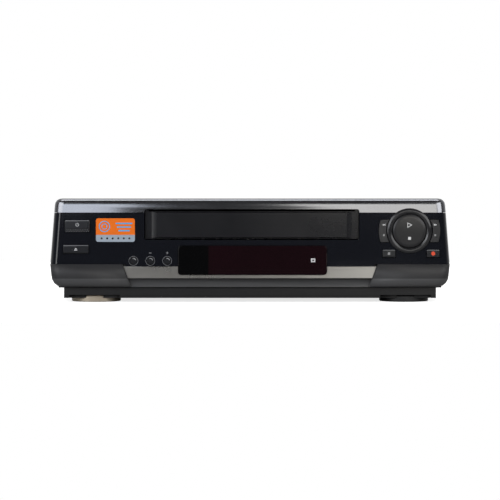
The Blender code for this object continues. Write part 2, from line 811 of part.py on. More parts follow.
def make_top_band():
    foot = BAND_FOOT + GAP / 2
    band = moulding("top_band", upper_levels(foot, 0), PANEL_BACK_Y)
    cut(band, moulding("band_inside", upper_levels(foot - OVERRUN, SKIN), PANEL_BACK_Y + OVERRUN))
    start = FACE_Y - OVERRUN
    end = FACE_Y + SKIN + BAND_LEAN + OVERRUN
    cut(band, slot_hole("band_slot", 0, start, end))
    cut(band, dial_hole("band_dial", RING_RADIUS + GAP, start, end))
    make_part(band, "top_band", SATIN_SILVER)


def recess_ring(z, back):
    """A plan rectangle of the recess between the wings, whose ends slant."""
    share = (z - PLINTH_TOP) / (WING_TOP - PLINTH_TOP)
    half = (RECESS_FOOT_WIDTH + (RECESS_TOP_WIDTH - RECESS_FOOT_WIDTH) * share) / 2
    front = FRONT_Y - OVERRUN
    return [(-half, front, z), (half, front, z), (half, back, z), (-half, back, z)]


def make_front_panel():
    levels = lower_levels(0, WING_TOP) + upper_levels(WING_TOP + STEP_DRAFT, CORE_INSET)
    panel = moulding("front_panel", levels, PANEL_BACK_Y)
    inside_top = WING_TOP - PANEL_WALL
    inside = lower_levels(PANEL_WALL, inside_top)
    inside = [(z, half, max(front, HOLLOW_Y), corner) for z, half, front, corner in inside]
    inside += upper_levels(inside_top + STEP_DRAFT, HOLLOW_INSET)
    cut(panel, moulding("panel_inside", inside, PANEL_BACK_Y + OVERRUN))
    recess = [
        recess_ring(PLINTH_TOP - OVERRUN, SILL_FOOT_Y),
        recess_ring(TRIM_FOOT, SILL_TOP_Y),
        recess_ring(TRIM_FOOT + STEP_DRAFT, CORE_Y),
        recess_ring(WING_TOP + OVERRUN, CORE_Y),
    ]
    cut(panel, loft("wing_recess", recess))
    pocket_in = RECESS_TOP_WIDTH / 2 + WING_POCKET_MARGIN
    pocket_out = WING_FOOT_WIDTH / 2 - WING_POCKET_MARGIN
    for side in (-1, 1):
        near, far = sorted((side * pocket_in, side * pocket_out))
        low = (near, FRONT_Y + WING_TUCK / 2 + PANEL_WALL, TUCK_TOP - WING_POCKET_MARGIN)
        cut(panel, block("wing_pocket", low, (far, HOLLOW_Y + OVERRUN, inside_top)))
    # the throat behind the door: two cheeks and a floor
    opening = SLOT_WIDTH / 2 + THROAT_SIDE
    floor_top = SLOT_FOOT - THROAT_FLOOR_DROP
    roof = HEIGHT - HOLLOW_INSET
    cut(
        panel,
        block(
            "door_opening",
            (SLOT_X - opening, CORE_Y - OVERRUN, floor_top),
            (SLOT_X + opening, HOLLOW_Y + OVERRUN, roof),
        ),
    )
    outer = opening + THROAT_WALL
    for side in (-1, 1):
        near, far = sorted((SLOT_X + side * opening, SLOT_X + side * outer))
        low = (near, HOLLOW_Y - BITE, floor_top - THROAT_WALL)
        join(panel, block("throat_cheek", low, (far, THROAT_BACK_Y, roof + BITE)))
    join(
        panel,
        block(
            "throat_floor",
            (SLOT_X - opening - BITE, CORE_Y + BITE, floor_top - THROAT_WALL),
            (SLOT_X + opening + BITE, THROAT_BACK_Y, floor_top),
        ),
    )
    pin_end = SLOT_WIDTH / 2 - DOOR_MARGIN + HINGE_PIN_LENGTH + GAP
    bore = HINGE_PIN_RADIUS + GAP
    cut(
        panel,
        rod(
            "hinge_bores",
            (SLOT_X - pin_end, HINGE_Y, HINGE_Z),
            (SLOT_X + pin_end, HINGE_Y, HINGE_Z),
            bore,
            segments=24,
        ),
    )
    half = TUBE_WIDTH / 2 + GAP
    cut(
        panel,
        block(
            "tube_opening",
            (WINDOW_X - half, CORE_Y - OVERRUN, TUBE_FOOT - GAP),
            (WINDOW_X + half, HOLLOW_Y + OVERRUN, TUBE_TOP + GAP),
        ),
    )
    cut(panel, dial_hole("disc_hole", DISC_RADIUS + RING_BORE_GAP, CORE_Y - OVERRUN, HOLLOW_Y + OVERRUN))
    cut(panel, *key_holes(CORE_Y - OVERRUN, HOLLOW_Y + OVERRUN))
    for x, z in front_posts():
        start = (x, CORE_Y + BITE, z)
        end = (x, FRONT_BOARD_Y - GAP, z)
        join(panel, rod("board_post", start, end, POST_RADIUS, segments=8))
    make_part(panel, "front_panel", WING_GREY)


def front_posts():
    """Where the front board is screwed to the moulding, as (x, z)."""
    outer = FRONT_BOARD_WIDTH / 2 - POST_RADIUS
    middle = TUBE_WIDTH / 2 + WINDOW_X + POST_RADIUS * 2
    return [
        (-outer, FRONT_POST_FOOT_Z),
        (outer, FRONT_POST_FOOT_Z),
        (-middle, FRONT_POST_FOOT_Z),
        (middle, FRONT_POST_FOOT_Z),
        (-outer, POWER_FOOT - POST_RADIUS * 2),
        (outer, DIAL_Z + SIDE_KEY_HEIGHT / 2 + POST_RADIUS + FLANGE_MARGIN * 2),
    ]


def make_trim():
    """The strip between the wings, notched for the window."""
    low = TRIM_FOOT + GAP / 2
    high = TRIM_TOP
    ends = []
    for z in (low, high):
        share = (z - PLINTH_TOP) / (WING_TOP - PLINTH_TOP)
        ends.append((RECESS_FOOT_WIDTH + (RECESS_TOP_WIDTH - RECESS_FOOT_WIDTH) * share) / 2 - GAP)
    outline = [(-ends[0], low), (ends[0], low), (ends[1], high), (-ends[1], high)]
    trim = sheet("lower_trim", [outline], "Y", FACE_Y, CORE_Y - GAP)
    cut(trim, window_hole("trim_window", GAP, FACE_Y - OVERRUN, CORE_Y + OVERRUN))
    make_part(trim, "lower_trim", CHAMPAGNE)


def make_window():
    window = window_hole("display_window", 0, FACE_Y - WINDOW_PROUD, CORE_Y - GAP)
    make_part(window, "display_window", SMOKED)


def make_door():
    """The cassette door: a plate with a raised, bevelled middle and two hinge ears."""
    front = FACE_Y + DOOR_SINK
    back = front + DOOR_PLATE
    half = SLOT_WIDTH / 2 - DOOR_MARGIN
    foot = SLOT_FOOT + DOOR_FOOT_GAP
    door = block("cassette_door", (SLOT_X - half, front, foot), (SLOT_X + half, back, DOOR_TOP))
    raised = front - DOOR_RAISE
    inner = half - DOOR_BORDER
    rings = []
    levels = (
        (front + BITE, 0),
        (front, 0),
        (raised + EDGE_CHAMFER, DOOR_BEVEL),
        (raised, DOOR_BEVEL + EDGE_CHAMFER),
    )
    for y, spread in levels:
        left = SLOT_X - inner - DOOR_BEVEL + spread
        right = SLOT_X + inner + DOOR_BEVEL - spread
        lift = EDGE_CHAMFER * spread / DOOR_BEVEL
        low = foot + BITE + lift
        high = DOOR_TOP - BITE - lift
        rings.append([(left, y, low), (right, y, low), (right, y, high), (left, y, high)])
    join(door, loft("door_raise", rings))
    ear_foot = DOOR_TOP - HINGE_EAR_RADIUS
    for side in (-1, 1):
        near, far = sorted((SLOT_X + side * (half - HINGE_EAR_WIDTH), SLOT_X + side * half))
        low = (near, front, ear_foot)
        join(door, block("door_ear", low, (far, back, HINGE_Z)))
        start = (near, HINGE_Y, HINGE_Z)
        end = (far, HINGE_Y, HINGE_Z)
        join(door, rod("door_knuckle", start, end, HINGE_EAR_RADIUS, segments=24))
        start = (SLOT_X + side * (half - HINGE_EAR_WIDTH / 2), HINGE_Y, HINGE_Z)
        end = (SLOT_X + side * (half + HINGE_PIN_LENGTH), HINGE_Y, HINGE_Z)
        join(door, rod("door_pin", start, end, HINGE_PIN_RADIUS, segments=16))
    make_part(door, "cassette_door", DOOR_BLACK, (SLOT_X, HINGE_Y, HINGE_Z))


def make_rectangular_keys():
    """Keys with a chamfered top edge and a sloping skirt, a flange and a stem."""
    back = HOLLOW_Y + GAP
    board = FRONT_BOARD_Y - BUTTON_TRAVEL - GAP
    for name, (x, width, top, ledge, foot) in RECTANGULAR_KEYS.items():
        front = FACE_Y - PROUD
        skirt = FACE_Y - PROUD / 4
        profile = [
            (back + BITE, top),
            (front + EDGE_CHAMFER, top),
            (front, top - EDGE_CHAMFER),
            (front, ledge),
            (skirt, foot),
            (back + BITE, foot),
        ]
        key = sheet(name, [profile], "X", x - width / 2, x + width / 2)
        flange_low = (x - width / 2 - FLANGE_MARGIN, back, foot - FLANGE_MARGIN)
        flange_high = (x + width / 2 + FLANGE_MARGIN, back + FLANGE, top + FLANGE_MARGIN)
        join(key, block(name + "_flange", flange_low, flange_high))
        middle = (top + foot) / 2
        start = (x, back + BITE, middle)
        join(key, rod(name + "_stem", start, (x, board, middle), STEM_RADIUS, segments=12))
        make_part(key, name, KEY_BLACK, (x, front, middle))


def make_round_keys():
    back = HOLLOW_Y + GAP
    board = FRONT_BOARD_Y - BUTTON_TRAVEL - GAP
    front = FACE_Y - PROUD / 2
    radius = ROUND_BUTTON_RADIUS
    profile = [
        (0, back - front),
        (radius - EDGE_CHAMFER, back - front),
        (radius, back - front - EDGE_CHAMFER),
        (radius, 0),
        (radius + FLANGE_MARGIN, 0),
        (radius + FLANGE_MARGIN, -FLANGE),
        (STEM_RADIUS, -FLANGE),
        (STEM_RADIUS, back - board),
        (0, back - board),
    ]
    for name, x in ROUND_KEYS.items():
        key = turned(name, profile, (x, back, ROUND_BUTTON_Z), (0, -1, 0), 16)
        make_part(key, name, KEY_BLACK)


def make_dial():
    """The ring is seated on the core; the disc rocks in it about a level axis."""
    front = FACE_Y - RING_HEIGHT
    seat = CORE_Y - GAP
    bore = DISC_RADIUS + RING_BORE_GAP
    crown = RING_HEIGHT * 2 / 3
    middle = (RING_RADIUS + bore) / 2
    profile = [
        (bore, seat - front - crown),
        (bore + crown, seat - front - crown / 4),
        (middle, seat - front),
        (RING_RADIUS - crown, seat - front - crown / 4),
        (RING_RADIUS, seat - front - crown),
        (RING_RADIUS, 0),
        (bore, 0),
    ]
    ring = turned("dial_ring", profile, (DIAL_X, seat, DIAL_Z), (0, -1, 0), 40)
    make_part(ring, "dial_ring", RING_GREY)
    flange_front = HOLLOW_Y + ROCK_GAP
    flange_back = flange_front + FLANGE
    top = FACE_Y - DISC_PROUD
    board = FRONT_BOARD_Y - ROCK_GAP
    disc_profile = [
        (0, flange_front - top),
        (DISC_RADIUS * 3 / 4, flange_front - top - EDGE_CHAMFER / 3),
        (DISC_RADIUS - EDGE_CHAMFER, flange_front - top - EDGE_CHAMFER),
        (DISC_RADIUS, flange_front - top - EDGE_CHAMFER * 2),
        (DISC_RADIUS, 0),
        (DISC_RADIUS + FLANGE_MARGIN + RING_BORE_GAP, 0),
        (DISC_RADIUS + FLANGE_MARGIN + RING_BORE_GAP, -FLANGE),
        (STEM_RADIUS, flange_front - flange_back),
        (STEM_RADIUS, flange_front - board),
        (0, flange_front - board),
    ]
    disc = turned("play_stop_button", disc_profile, (DIAL_X, flange_front, DIAL_Z), (0, -1, 0), 32)
    make_part(disc, "play_stop_button", KEY_BLACK)
    for name, side in SIDE_KEYS.items():
        back = HOLLOW_Y + ROCK_GAP
        key = sheet(name, [side_key_outline(side, 0)], "Y", FACE_Y - SIDE_KEY_PROUD, back + BITE)
        middle = DIAL_X + side * (SIDE_KEY_INNER_RADIUS + SIDE_KEY_OUTER_RADIUS) / 2
        half = STEM_RADIUS
        reach = SIDE_KEY_HEIGHT / 2 + FLANGE_MARGIN
        low = (middle - half, back, DIAL_Z - reach)
        join(key, block(name + "_flange", low, (middle + half, back + FLANGE, DIAL_Z + reach)))
        start = (middle, back + BITE, DIAL_Z)
        end = (middle, FRONT_BOARD_Y - ROCK_GAP, DIAL_Z)
        join(key, rod(name + "_stem", start, end, STEM_RADIUS, segments=12))
        make_part(key, name, KEY_BLACK, (middle, CORE_Y, DIAL_Z))


def make_front_board():
    """The board behind the keys: low in the middle, under the throat, high at the ends."""
    half = FRONT_BOARD_WIDTH / 2
    inner_left = SLOT_X - SLOT_WIDTH / 2 - THROAT_SIDE - THROAT_WALL - GAP * 2
    inner_right = SLOT_X + SLOT_WIDTH / 2 + THROAT_SIDE + THROAT_WALL + GAP * 2
    outline = [
        (-half, FRONT_BOARD_FOOT),
        (half, FRONT_BOARD_FOOT),
        (half, FRONT_BOARD_HIGH_TOP),
        (inner_right, FRONT_BOARD_HIGH_TOP),
        (inner_right, FRONT_BOARD_LOW_TOP),
        (inner_left, FRONT_BOARD_LOW_TOP),
        (inner_left, FRONT_BOARD_HIGH_TOP),
        (-half, FRONT_BOARD_HIGH_TOP),
    ]
    board = sheet("front_board", [outline], "Y", FRONT_BOARD_Y, FRONT_BOARD_Y + BOARD)
    make_part(board, "front_board", BOARD_BROWN)
    half = TUBE_WIDTH / 2
    tube = block(
        "display_tube",
        (WINDOW_X - half, CORE_Y + GAP, TUBE_FOOT),
        (WINDOW_X + half, CORE_Y + GAP + TUBE_DEPTH, TUBE_TOP),
    )
    foot = rod(
        "tube_foot",
        (WINDOW_X, CORE_Y + TUBE_DEPTH, (TUBE_FOOT + TUBE_TOP) / 2),
        (WINDOW_X, FRONT_BOARD_Y - GAP, (TUBE_FOOT + TUBE_TOP) / 2),
        POST_RADIUS,
        segments=12,
    )
    join(tube, foot)
    make_part(tube, "display_tube", TUBE_GLASS)


def make_front():
    make_front_panel()
    make_face_plate()
    make_top_band()
    make_trim()
    make_window()
    make_door()
    make_rectangular_keys()
    make_round_keys()
    make_dial()
    make_front_board()


def chassis_outline(half, rim_half, cover_half):
    """A tray's cross-section, with a stepped rim for the cover to stand over."""
    wall = CHASSIS_WALL
    right = [
        (half, CHASSIS_FOOT),
        (half, RIM_FOOT),
        (cover_half, RIM_FOOT),
        (cover_half, COVER_FOOT - GAP),
        (rim_half, COVER_FOOT - GAP),
        (rim_half, RIM_TOP),
        (rim_half - wall, RIM_TOP),
        (rim_half - wall, RIM_FOOT + wall),
        (half - wall, RIM_FOOT + wall),
        (half - wall, CHASSIS_FOOT + wall),
    ]
    return right + [(-x, z) for x, z in reversed(right)]


def foot_places():
    """(name, x, y, radius) of each foot."""
    return [
        ("foot_front_left", -FOOT_X, FOOT_Y, FOOT_RADIUS),
        ("foot_front_right", FOOT_X, FOOT_Y, FOOT_RADIUS),
        ("foot_rear_left", -FOOT_X, REAR_FOOT_Y, REAR_FOOT_RADIUS),
        ("foot_rear_right", FOOT_X, REAR_FOOT_Y, REAR_FOOT_RADIUS),
    ]


def make_chassis():
    half = CHASSIS_WIDTH / 2
    cover_half = COVER_WIDTH / 2
    rim_half = cover_half - COVER_WALL - GAP
    outline = chassis_outline(half, rim_half, cover_half)
    back = BACK_Y - GAP
    chassis = sheet("bottom_chassis", [outline], "Y", CASE_FRONT_Y, back)
    nose_top = PLINTH_TOP - GAP
    nose_high = (half, CASE_FRONT_Y + BITE, nose_top)
    join(chassis, block("nose", (-half, PLINTH_Y, CHASSIS_FOOT), nose_high))
    inner = half - CHASSIS_WALL
    hollow_low = (-inner, PLINTH_Y + CHASSIS_WALL, CHASSIS_FLOOR_TOP)
    hollow_high = (inner, CASE_FRONT_Y + BITE + OVERRUN, nose_top + OVERRUN)
    cut(chassis, block("nose_hollow", hollow_low, hollow_high))
    for name, x, y, radius in foot_places():
        well = radius + FOOT_WELL_MARGIN
        roof = FOOT_HEIGHT + GAP
        high = roof + CHASSIS_WALL
        join(chassis, rod(name + "_cap", (x, y, CHASSIS_FOOT + BITE), (x, y, high), well))
        trim_high = (x + well, PLINTH_Y, high + OVERRUN)
        cut(chassis, block(name + "_trim", (x - well, PLINTH_Y - radius, 0), trim_high))
        hole = rod(name + "_well", (x, y, -OVERRUN), (x, y, roof), well - CHASSIS_WALL)
        cut(chassis, hole)
        if y < 0:
            side = well - CHASSIS_WALL
            high = (x + side, PLINTH_Y + CHASSIS_WALL, roof)
            cut(chassis, block(name + "_cut", (x - side, PLINTH_Y - OVERRUN, -OVERRUN), high))
    for x, y in board_posts():
        post = rod("post", (x, y, CHASSIS_FOOT + BITE), (x, y, BOARD_Z - GAP), BOARD_POST, segments=8)
        join(chassis, post)
    for x, y in deck_posts():
        post = rod("deck_post", (x, y, CHASSIS_FOOT + BITE), (x, y, DECK_Z - GAP), BOARD_POST, segments=8)
        join(chassis, post)
    make_part(chassis, "bottom_chassis", CHASSIS_BLACK)


def make_feet():
    """Round dished feet, held up into their wells by a stub."""
    for name, x, y, radius in foot_places():
        profile = [
            (0, FOOT_HEIGHT),
            (radius - FOOT_LIP, FOOT_HEIGHT),
            (radius, FOOT_HEIGHT - FOOT_LIP),
            (radius, FOOT_LIP / 2),
            (radius - FOOT_LIP / 2, 0),
            (radius - FOOT_LIP * 3, 0),
            (radius - FOOT_LIP * 4, FOOT_DISH),
            (0, FOOT_DISH),
        ]
        foot = turned(name, profile, (x, y, 0), (0, 0, 1), 28)
        make_part(foot, name, FOOT_CHAMPAGNE if name == "foot_front_left" else FOOT_BLACK)


def make_cover():
    """A folded sheet cover with vent slots over the power supply."""
    half = COVER_WIDTH / 2
    bend = COVER_BEND
    wall = COVER_WALL
    outer = [(half, COVER_FOOT)] + arc((half - bend, COVER_TOP - bend), bend, 0, 90, 4)
    inner = [(half - wall, COVER_FOOT)]
    inner += arc((half - bend, COVER_TOP - bend), bend - wall, 0, 90, 4)
    outline = outer + [(-x, z) for x, z in reversed(outer)]
    outline += [(-x, z) for x, z in inner]
    outline += reversed(inner)
    cover = sheet("top_cover", [outline], "Y", CASE_FRONT_Y, BACK_Y + BACK_WALL + COVER_LIP)
    for side in (0, 1):
        for row in range(VENT_COUNT):
            x = VENT_X + (row - (VENT_COUNT - 1) / 2) * VENT_PITCH
            y = VENT_Y - side * (VENT_LENGTH + VENT_PITCH)
            low = (x - VENT_WIDTH / 2, y - VENT_LENGTH / 2, COVER_TOP - wall - OVERRUN)
            high = (x + VENT_WIDTH / 2, y + VENT_LENGTH / 2, COVER_TOP + OVERRUN)
            cut(cover, block("vent", low, high))
    make_part(cover, "top_cover", COVER_BLACK)


def scart_outline(x, grow):
    """The slanted outline of a SCART socket, larger by an amount."""
    half = SCART_WIDTH / 2 + grow
    low = SCART_Z - SCART_HEIGHT / 2 - grow
    high = SCART_Z + SCART_HEIGHT / 2 + grow
    return [
        (x - half + SCART_SLANT, low),
        (x + half, low),
        (x + half, high),
        (x - half, high),
        (x - half, low + SCART_SLANT),
    ]


def coax_heights():
    middle = TUNER_FOOT + TUNER_HEIGHT / 2
    return [middle - COAX_PITCH / 2, middle + COAX_PITCH / 2]


def phono_places():
    return [PHONO_X + (n - (PHONO_COUNT - 1) / 2) * PHONO_PITCH for n in range(PHONO_COUNT)]


def make_back():
    half = COVER_WIDTH / 2 - COVER_WALL - GAP
    top = COVER_TOP - COVER_WALL - GAP
    outline = rounded(-half, BACK_FOOT, half, top, COVER_BEND - COVER_WALL)
    panel = sheet("rear_panel", [outline], "Y", BACK_Y, BACK_Y + BACK_WALL)
    start = BACK_Y - OVERRUN
    end = BACK_Y + BACK_WALL + OVERRUN
    for n in (0, 1):
        x = SCART_X + n * SCART_PITCH
        cut(panel, sheet("scart_hole", [scart_outline(x, GAP)], "Y", start, end))
    for z in coax_heights():
        cut(panel, rod("coax_hole", (TUNER_X, start, z), (TUNER_X, end, z), COAX_RADIUS + GAP, segments=14))
    for x in phono_places():
        hole = PHONO_RADIUS + GAP
        cut(panel, rod("phono_hole", (x, start, PHONO_Z), (x, end, PHONO_Z), hole, segments=14))
    cut(panel, sheet("inlet_hole", [inlet_outline(INLET_WALL + GAP)], "Y", start, end))
    make_part(panel, "rear_panel", CHASSIS_BLACK)


def inlet_outline(grow):
    """A figure-8 inlet's flat oval outline."""
    half = INLET_WIDTH / 2 - INLET_WALL
    high = INLET_HEIGHT / 2 - INLET_WALL
    radius = high + grow
    right = arc((INLET_X + half - high, INLET_Z), radius, -90, 90, 6)
    left = arc((INLET_X - half + high, INLET_Z), radius, 90, 270, 6)
    return right + left


def make_sockets():
    """SCART sockets, coax jacks, phono jacks and the mains inlet."""
    inside = BACK_Y - GAP
    for n in (0, 1):
        x = SCART_X + n * SCART_PITCH
        front = BACK_Y - SCART_DEPTH
        back = BACK_Y + BACK_WALL + SCART_PROUD
        name = "scart_socket_" + str(n + 1)
        socket = sheet(name, [scart_outline(x, 0)], "Y", front, back)
        outline = scart_outline(x, SCART_FLANGE)
        join(socket, sheet(name + "_flange", [outline], "Y", inside - SCART_FLANGE, inside))
        floor = front + SCART_FLANGE
        cut(socket, sheet(name + "_moat", [scart_outline(x, -SCART_WALL)], "Y", floor, back + OVERRUN))
        half = SCART_WIDTH / 2 - SCART_WALL - SCART_TONGUE
        low = (x - half + SCART_SLANT / 2, floor - BITE, SCART_Z - SCART_TONGUE / 2)
        high = (x + half, back - SCART_WALL, SCART_Z + SCART_TONGUE / 2)
        join(socket, block(name + "_tongue", low, high))
        foot_low = (x - half, front, BOARD_Z + BOARD + GAP)
        foot_high = (x + half, inside - SCART_FLANGE, SCART_Z - SCART_HEIGHT / 2 + BITE)
        join(socket, block(name + "_foot", foot_low, foot_high))
        make_part(socket, name, CONNECTOR_BLACK)
    low = (TUNER_X - TUNER_WIDTH / 2, inside - TUNER_DEPTH, TUNER_FOOT)
    tuner = block("tuner_block", low, (TUNER_X + TUNER_WIDTH / 2, inside, TUNER_FOOT + TUNER_HEIGHT))
    for z in coax_heights():
        join(tuner, rod("coax", (TUNER_X, inside - BITE, z), (TUNER_X, DEPTH / 2, z), COAX_RADIUS, segments=14))
        bore_end = (TUNER_X, DEPTH / 2 + OVERRUN, z)
        cut(tuner, rod("coax_bore", (TUNER_X, BACK_Y, z), bore_end, COAX_BORE, segments=10))
    for side in (-1, 1):
        x = TUNER_X + side * (TUNER_WIDTH / 2 - BOARD_POST)
        y = inside - BOARD_POST * 2
        foot = (x, y, CHASSIS_FLOOR_TOP + GAP)
        join(tuner, rod("tuner_leg", foot, (x, y, TUNER_FOOT + BITE), BOARD_POST / 2, segments=12))
    make_part(tuner, "tuner_block", ZINC)
    places = phono_places()
    margin = PHONO_PITCH / 2
    low = (places[0] - margin, inside - PHONO_BLOCK_DEPTH, BOARD_Z + BOARD + GAP)
    jacks = block("phono_jacks", low, (places[-1] + margin, inside, PHONO_Z + margin))
    for x in places:
        join(jacks, rod("phono", (x, inside - BITE, PHONO_Z), (x, DEPTH / 2, PHONO_Z), PHONO_RADIUS, segments=14))
        bore_end = DEPTH / 2 + OVERRUN
        cut(jacks, rod("phono_bore", (x, BACK_Y, PHONO_Z), (x, bore_end, PHONO_Z), PHONO_BORE, segments=10))
    make_part(jacks, "phono_jacks", CONNECTOR_BLACK)
    back = BACK_Y + BACK_WALL
    inlet = sheet("ac_inlet", [inlet_outline(INLET_WALL)], "Y", back - INLET_DEPTH, back)
    outline = inlet_outline(INLET_WALL + INLET_FLANGE)
    join(inlet, sheet("inlet_flange", [outline], "Y", inside - INLET_FLANGE, inside))
    floor = back - INLET_DEPTH + INLET_FLANGE
    cut(inlet, sheet("inlet_cavity", [inlet_outline(0)], "Y", floor, back + OVERRUN))
    for side in (-1, 1):
        x = INLET_X + side * INLET_PIN_PITCH / 2
        pin_end = back - INLET_FLANGE
        start = (x, floor - BITE, INLET_Z)
        join(inlet, rod("inlet_pin", start, (x, pin_end, INLET_Z), INLET_PIN_RADIUS, segments=12))
    foot_half = INLET_WIDTH / 4
    foot_high = (INLET_X + foot_half, inside - INLET_FLANGE, INLET_Z - INLET_HEIGHT / 2 + BITE)
    join(inlet, block("inlet_foot", (INLET_X - foot_half, floor, BOARD_Z + BOARD + GAP), foot_high))
    make_part(inlet, "ac_inlet", CONNECTOR_BLACK)


def board_posts():
    """Where the boards are screwed to the chassis floor, as (x, y)."""
    inset = BOARD_POST * 2
    places = []
    boards = (
        (MAIN_BOARD_X, MAIN_BOARD_WIDTH, MAIN_BOARD_FRONT),
        (POWER_BOARD_X, POWER_BOARD_WIDTH, POWER_BOARD_FRONT),
    )
    for x, width, front in boards:
        for side in (-1, 1):
            for y in (front + inset, MAIN_BOARD_BACK - inset):
                places.append((x + side * (width / 2 - inset), y))
    return places


def make_boards():
    boards = (
        ("main_board", MAIN_BOARD_X, MAIN_BOARD_WIDTH, MAIN_BOARD_FRONT),
        ("power_board", POWER_BOARD_X, POWER_BOARD_WIDTH, POWER_BOARD_FRONT),
    )
    for name, x, width, front in boards:
        outline = rectangle(x - width / 2, front, x + width / 2, MAIN_BOARD_BACK)
        board = sheet(name, [outline], "Z", BOARD_Z, BOARD_Z + BOARD)
        if name == "main_board":
            for post_x, post_y in deck_posts():
                start = (post_x, post_y, BOARD_Z - OVERRUN)
                end = (post_x, post_y, BOARD_Z + BOARD + OVERRUN)
                cut(board, rod("post_hole", start, end, BOARD_POST + GAP * 2, segments=16))
        make_part(board, name, BOARD_BROWN)


def make_power_supply():
    """The transformer with its laminated core, the filter capacitor and the heat sink."""
    foot = BOARD_Z + BOARD + GAP
    x = POWER_BOARD_X
    half = TRANSFORMER_WIDTH / 2
    deep = TRANSFORMER_DEPTH / 2
    limb = TRANSFORMER_LIMB
    top = foot + TRANSFORMER_HEIGHT
    windows = [
        rectangle(x - half, foot, x + half, top),
        rectangle(x - half + limb, foot + limb, x + half - limb, top - limb),
    ]
    core = sheet("power_transformer", windows, "Y", TRANSFORMER_Y - deep / 2, TRANSFORMER_Y + deep / 2)
    low = (x - half + limb * 3 / 2, TRANSFORMER_Y - deep, foot + limb - BITE)
    high = (x + half - limb * 3 / 2, TRANSFORMER_Y + deep, top - limb + BITE)
    join(core, block("winding", low, high))
    make_part(core, "power_transformer", COPPER)
    radius = CAPACITOR_RADIUS
    profile = [
        (0, CAPACITOR_HEIGHT),
        (radius - EDGE_CHAMFER, CAPACITOR_HEIGHT),
        (radius, CAPACITOR_HEIGHT - EDGE_CHAMFER),
        (radius, SINK_WALL),
        (radius - EDGE_CHAMFER, SINK_WALL - EDGE_CHAMFER),
        (radius, SINK_WALL - EDGE_CHAMFER * 2),
        (radius, 0),
        (0, 0),
    ]
    capacitor = turned("filter_capacitor", profile, (x, CAPACITOR_Y, foot), (0, 0, 1))
    make_part(capacitor, "filter_capacitor", CAPACITOR_BLUE)
    left = x - SINK_WIDTH / 2
    right = x + SINK_WIDTH / 2
    outline = [(left, SINK_Y), (right, SINK_Y), (right, SINK_Y + SINK_WALL)]
    pitch = (SINK_WIDTH - SINK_WALL) / (FIN_COUNT - 1)
    for fin in reversed(range(FIN_COUNT)):
        fin_left = left + fin * pitch
        fin_right = fin_left + SINK_WALL / 2
        outline.append((fin_right, SINK_Y + SINK_WALL))
        outline.append((fin_right, SINK_Y + FIN_DEPTH))
        outline.append((fin_left, SINK_Y + FIN_DEPTH))
        outline.append((fin_left, SINK_Y + SINK_WALL))
    outline.pop()
    sink = sheet("heat_sink", [outline], "Z", foot, foot + SINK_HEIGHT)
    make_part(sink, "heat_sink", ALUMINIUM)


def capsule(start, end, radius, steps=6):
    """The outline of a bar with round ends between two points."""
    angle = atan2(end[1] - start[1], end[0] - start[0]) * 180 / pi
    return arc(start, radius, angle + 90, angle + 270, steps) + arc(end, radius, angle - 90, angle + 90, steps)


def deck_posts():
    """Where the deck is screwed to the chassis posts, as (x, y)."""
    half = DECK_WIDTH / 2 - DECK_INSET
    ends = (DECK_FRONT + DECK_INSET, DECK_BACK - DECK_INSET)
    return [(SLOT_X + side * half, y) for side in (-1, 1) for y in ends]


def reel_places():
    return {"supply_reel": SLOT_X - REEL_PITCH / 2, "takeup_reel": SLOT_X + REEL_PITCH / 2}


def guide_path(side):
    """The start and end of a tape guide's way along its slot."""
    start = (DRUM_X + side * GUIDE_START[0], DRUM_Y + GUIDE_START[1])
    end = (DRUM_X + side * GUIDE_END[0], DRUM_Y + GUIDE_END[1])
    return start, end


def make_deck_plate():
    half = DECK_WIDTH / 2
    outlines = [rectangle(SLOT_X - half, DECK_FRONT, SLOT_X + half, DECK_BACK)]
    for side in (-1, 1):
        start, end = guide_path(side)
        outlines.append(capsule(start, end, GUIDE_SLOT / 2))
    outlines.append(arc((CAPSTAN_X, CAPSTAN_Y), CAPSTAN_HOUSING + GAP, 0, 350, 20))
    plate = sheet("deck_plate", outlines, "Z", DECK_Z, DECK_TOP)
    pins = [(x, REEL_Y) for x in reel_places().values()]
    pins += [(PINCH_X, PINCH_Y), (TENSION_X, TENSION_Y)]
    for x, y in pins:
        foot = (x, y, DECK_TOP - BITE)
        join(plate, rod("deck_pin", foot, (x, y, DECK_TOP + PIN_HEIGHT), PIN_RADIUS, segments=12))
    make_part(plate, "deck_plate", ZINC)


def drum_axis():
    """The drum leans to the left and back."""
    lean = sin(DRUM_TILT) / 2 ** 0.5
    return Vector((-lean, lean, cos(DRUM_TILT)))


def make_drum():
    axis = drum_axis()
    centre = Vector((DRUM_X, DRUM_Y, DRUM_SPLIT))
    radius = DRUM_RADIUS
    hub = DRUM_HUB_RADIUS
    lower = [
        (0, -GAP),
        (radius, -GAP),
        (radius, -DRUM_BASE_HEIGHT),
        (0, -DRUM_BASE_HEIGHT),
    ]
    base = turned("drum_base", lower, centre, axis, 30)
    foot = (DRUM_X, DRUM_Y, DECK_TOP + GAP)
    foot_top = (DRUM_X, DRUM_Y, DRUM_SPLIT - DRUM_BASE_HEIGHT / 2)
    join(base, rod("drum_foot", foot, foot_top, DRUM_FOOT_RADIUS))
    make_part(base, "drum_base", ALUMINIUM)
    top = DRUM_ROTOR_HEIGHT
    upper = [
        (0, top - ARM_WALL * 2),
        (hub - ARM_WALL, top - ARM_WALL * 2),
        (hub - ARM_WALL, top),
        (hub, top),
        (hub, top - ARM_WALL),
        (radius - ARM_WALL, top - ARM_WALL),
        (radius - ARM_WALL, top),
        (radius - EDGE_CHAMFER, top),
        (radius, top - EDGE_CHAMFER),
        (radius, GAP),
        (0, GAP),
    ]
    rotor = turned("drum_rotor", upper, centre, axis, 30)
    make_part(rotor, "drum_rotor", STEEL)


